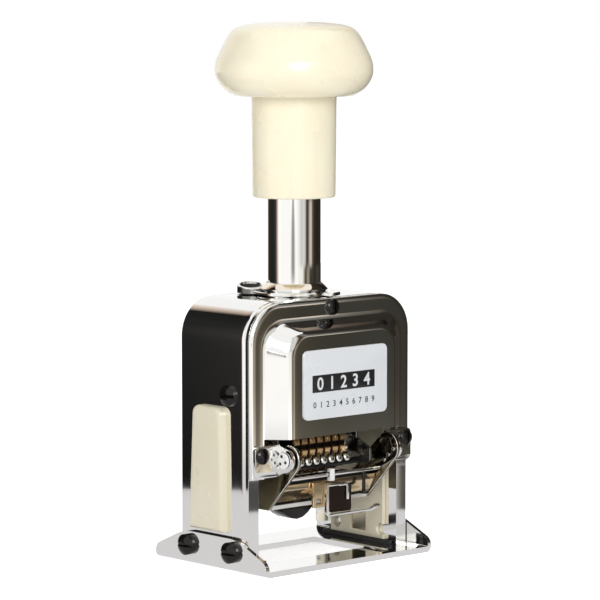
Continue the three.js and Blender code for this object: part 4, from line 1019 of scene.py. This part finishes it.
# Painted light: the nose heads inside are a dark brown steel for the shade on the arm's inner face,
# and the heads outside a matt white for the bright shine of plated steel.
nose_painted_shade = metal_finish("nose_painted_shade", (0.12, 0.10, 0.075), 0.2, 0.15, 0.3, 800, 0.1)
rivet_painted_highlight = metal_finish("rivet_painted_highlight", (0.93, 0.92, 0.90), 0.3, 0.1, 0.2, 900, 0.02, 0.0)
pin_y, pin_z = -23.5, 38
for sign, side in ((-1, "left"), (1, "right")):
    dress(f"bracket_{side}", chrome, 0.3, 3)
    dress(f"pivot_rivet_{side}", machined_steel, 0.1)
    rivet = riveted_head(f"rivet_head_{side}", 2.7, 0.55, (sign * 25.95, pin_y, pin_z), (sign, 0, 0))
    nose = riveted_head(f"rivet_nose_{side}", 2.7, 0.4, (sign * 22.45, pin_y, pin_z), (-sign, 0, 0))
    marks = [riveted_head("mark", 0.55, 0.2,
                          (sign * 26.445, pin_y + 1.55 * math.cos(math.radians(spot)),
                           pin_z + 1.55 * math.sin(math.radians(spot))), (sign, 0, 0))
             for spot in (75, 195, 315)]
    studs = [riveted_head("stud", 0.7, 0.45, (sign * 22.42, y, z), (-sign, 0, 0))
             for y, z in ((-26.6, 37.7), (-24.1, 35.5), (-22.0, 33.4))]
    for mesh, body, finish, slot in (
            (rivet, "stand", rivet_painted_highlight, "chrome"), (nose, "ink_swing", nose_painted_shade, "steel"),
            (joined_mesh(f"rivet_marks_{side}", marks), "stand", black_rubber, "black_rubber"),
            (joined_mesh(f"nose_studs_{side}", studs), "ink_swing", chrome, "chrome")):
        make_piece(mesh, body, finish, sharp=50)
    slotted_screw(f"ear_screw_{side}", *small_head, (sign * 33.4, -20.9, 40), (0, -1, 0))


# Ink carrier: two swinging arms with a shallow nickel tray between them. The tray holds
# the felt pad, with a wire clip, its dark leaf (a plate painted near black for the shadow
# behind the clip) and catch, a brass tab and a bar in front.
tray_nickel = metal_finish("tray_nickel", (0.80, 0.64, 0.44), 0.13, 0.12, 0.15, 700, 0.12)
tray_tree = tray_nickel.node_tree
tray_shader = tray_tree.nodes["Principled BSDF"]
tray_place = shader_node(tray_tree, "SeparateXYZ", feeds={
    "Vector": (tray_tree.nodes["Texture Coordinate"], "Object")})
tray_tone = (tray_shader.inputs["Base Color"].links[0].from_node, "Result")
# Painted shadow and highlight by height: below 22.2 mm a near-black band for the shadow over the
# tray's rolled lip, and below 21.0 mm a pale, less metallic band for the lit lip.
for top, colour in ((22.2, (0.03, 0.022, 0.016, 1)), (21.0, (0.86, 0.83, 0.79, 1))):
    below = shader_node(tray_tree, "MapRange", {
        "From Min": (top + 0.1) * mm, "From Max": (top - 0.1) * mm}, {"Value": (tray_place, "Z")})
    painted = shader_node(tray_tree, "Mix", {"B": colour},
                          {"Factor": (below, "Result"), "A": tray_tone}, data_type="RGBA")
    tray_tone = (painted, "Result")
feed(tray_tree, tray_shader, {"Base Color": tray_tone})
painted_lip_highlight = shader_node(tray_tree, "MapRange", {"To Min": 1, "To Max": 0.3},
                         {"Value": (below, "Result")})
feed(tray_tree, tray_shader, {"Metallic": (painted_lip_highlight, "Result")})
pad_felt = metal_finish("inked_felt", (0.03, 0.026, 0.028), 0.9, 0.1, 1.0, 2600, 0.4, 0.0)
white_nylon = metal_finish("white_nylon", (0.86, 0.85, 0.82), 0.35, 0.15, 0.2, 900, 0.05, 0.0)
arm_shade_nickel = metal_finish("arm_shade_nickel", (0.30, 0.275, 0.215), 0.09, 0.1, 0.15, 900, 0.1)
tab_brass = metal_finish("tab_brass", (0.78, 0.60, 0.36), 0.2, 0.15, 0.2, 700, 0.15)
# Painted shade: each arm's faces are a darkened copy of the plating, for the shade on them, with their
# eased edges in bright chrome.
for side in ("left", "right"):
    arm = dress(f"ink_arm_{side}", arm_shade_nickel, 0.3, 3)
    arm.data.materials.append(chrome)
    arm.modifiers["eased_edge"].material = 1
dress("ink_tray", tray_nickel, 0.25, 3)
dress("ink_pad", pad_felt, 0.8, 4)
dress("pad_clip", chrome, 0.3, 3)
dress("pad_tab", tab_brass, 0.2)
dress("tray_bar", chrome, 0.3, 3)
dress("bar_block", white_nylon, 0.2)
dress("pad_pin", black_steel, 0.1)
dress("tray_leaf", black_steel, 0.5, 3)
# Painted shadow: the clip's leaf is a near-black plate that stands for the shadow over the tray's
# right part behind the clip.
shadow_leaf_black = metal_finish("shadow_leaf_black", (0.045, 0.03, 0.024), 0.22, 0.25, 0.3, 900, 0.05)
leaf = padded_outline(
    "clip_shadow_leaf", [(0.3, 16.7), (10.6, 16.5), (10.6, 25.9), (0.3, 25.9)], [0.8] * 4,
    [0.08, 0, 0, 0.06], [0, 0.05, 0.2, 0.25], (0, -17.63, 0), *facing_front)
make_piece(leaf, "ink_swing", shadow_leaf_black, sharp=15)
catch = [padded_outline("catch", [(low_x, low_z), (high_x, low_z), (high_x, high_z), (low_x, high_z)],
                        [0.3] * 4, [0.2, 0, 0, 0.2], [0, 0.15, 0.6, 0.75],
                        (0, -18.05, 0), *facing_front)
         for low_x, low_z, high_x, high_z in ((4.2, 25.6, 8.8, 26.6), (7.7, 20.6, 8.8, 26.4))]
make_piece(joined_mesh("clip_catch", catch), "ink_swing", chrome, sharp=50)
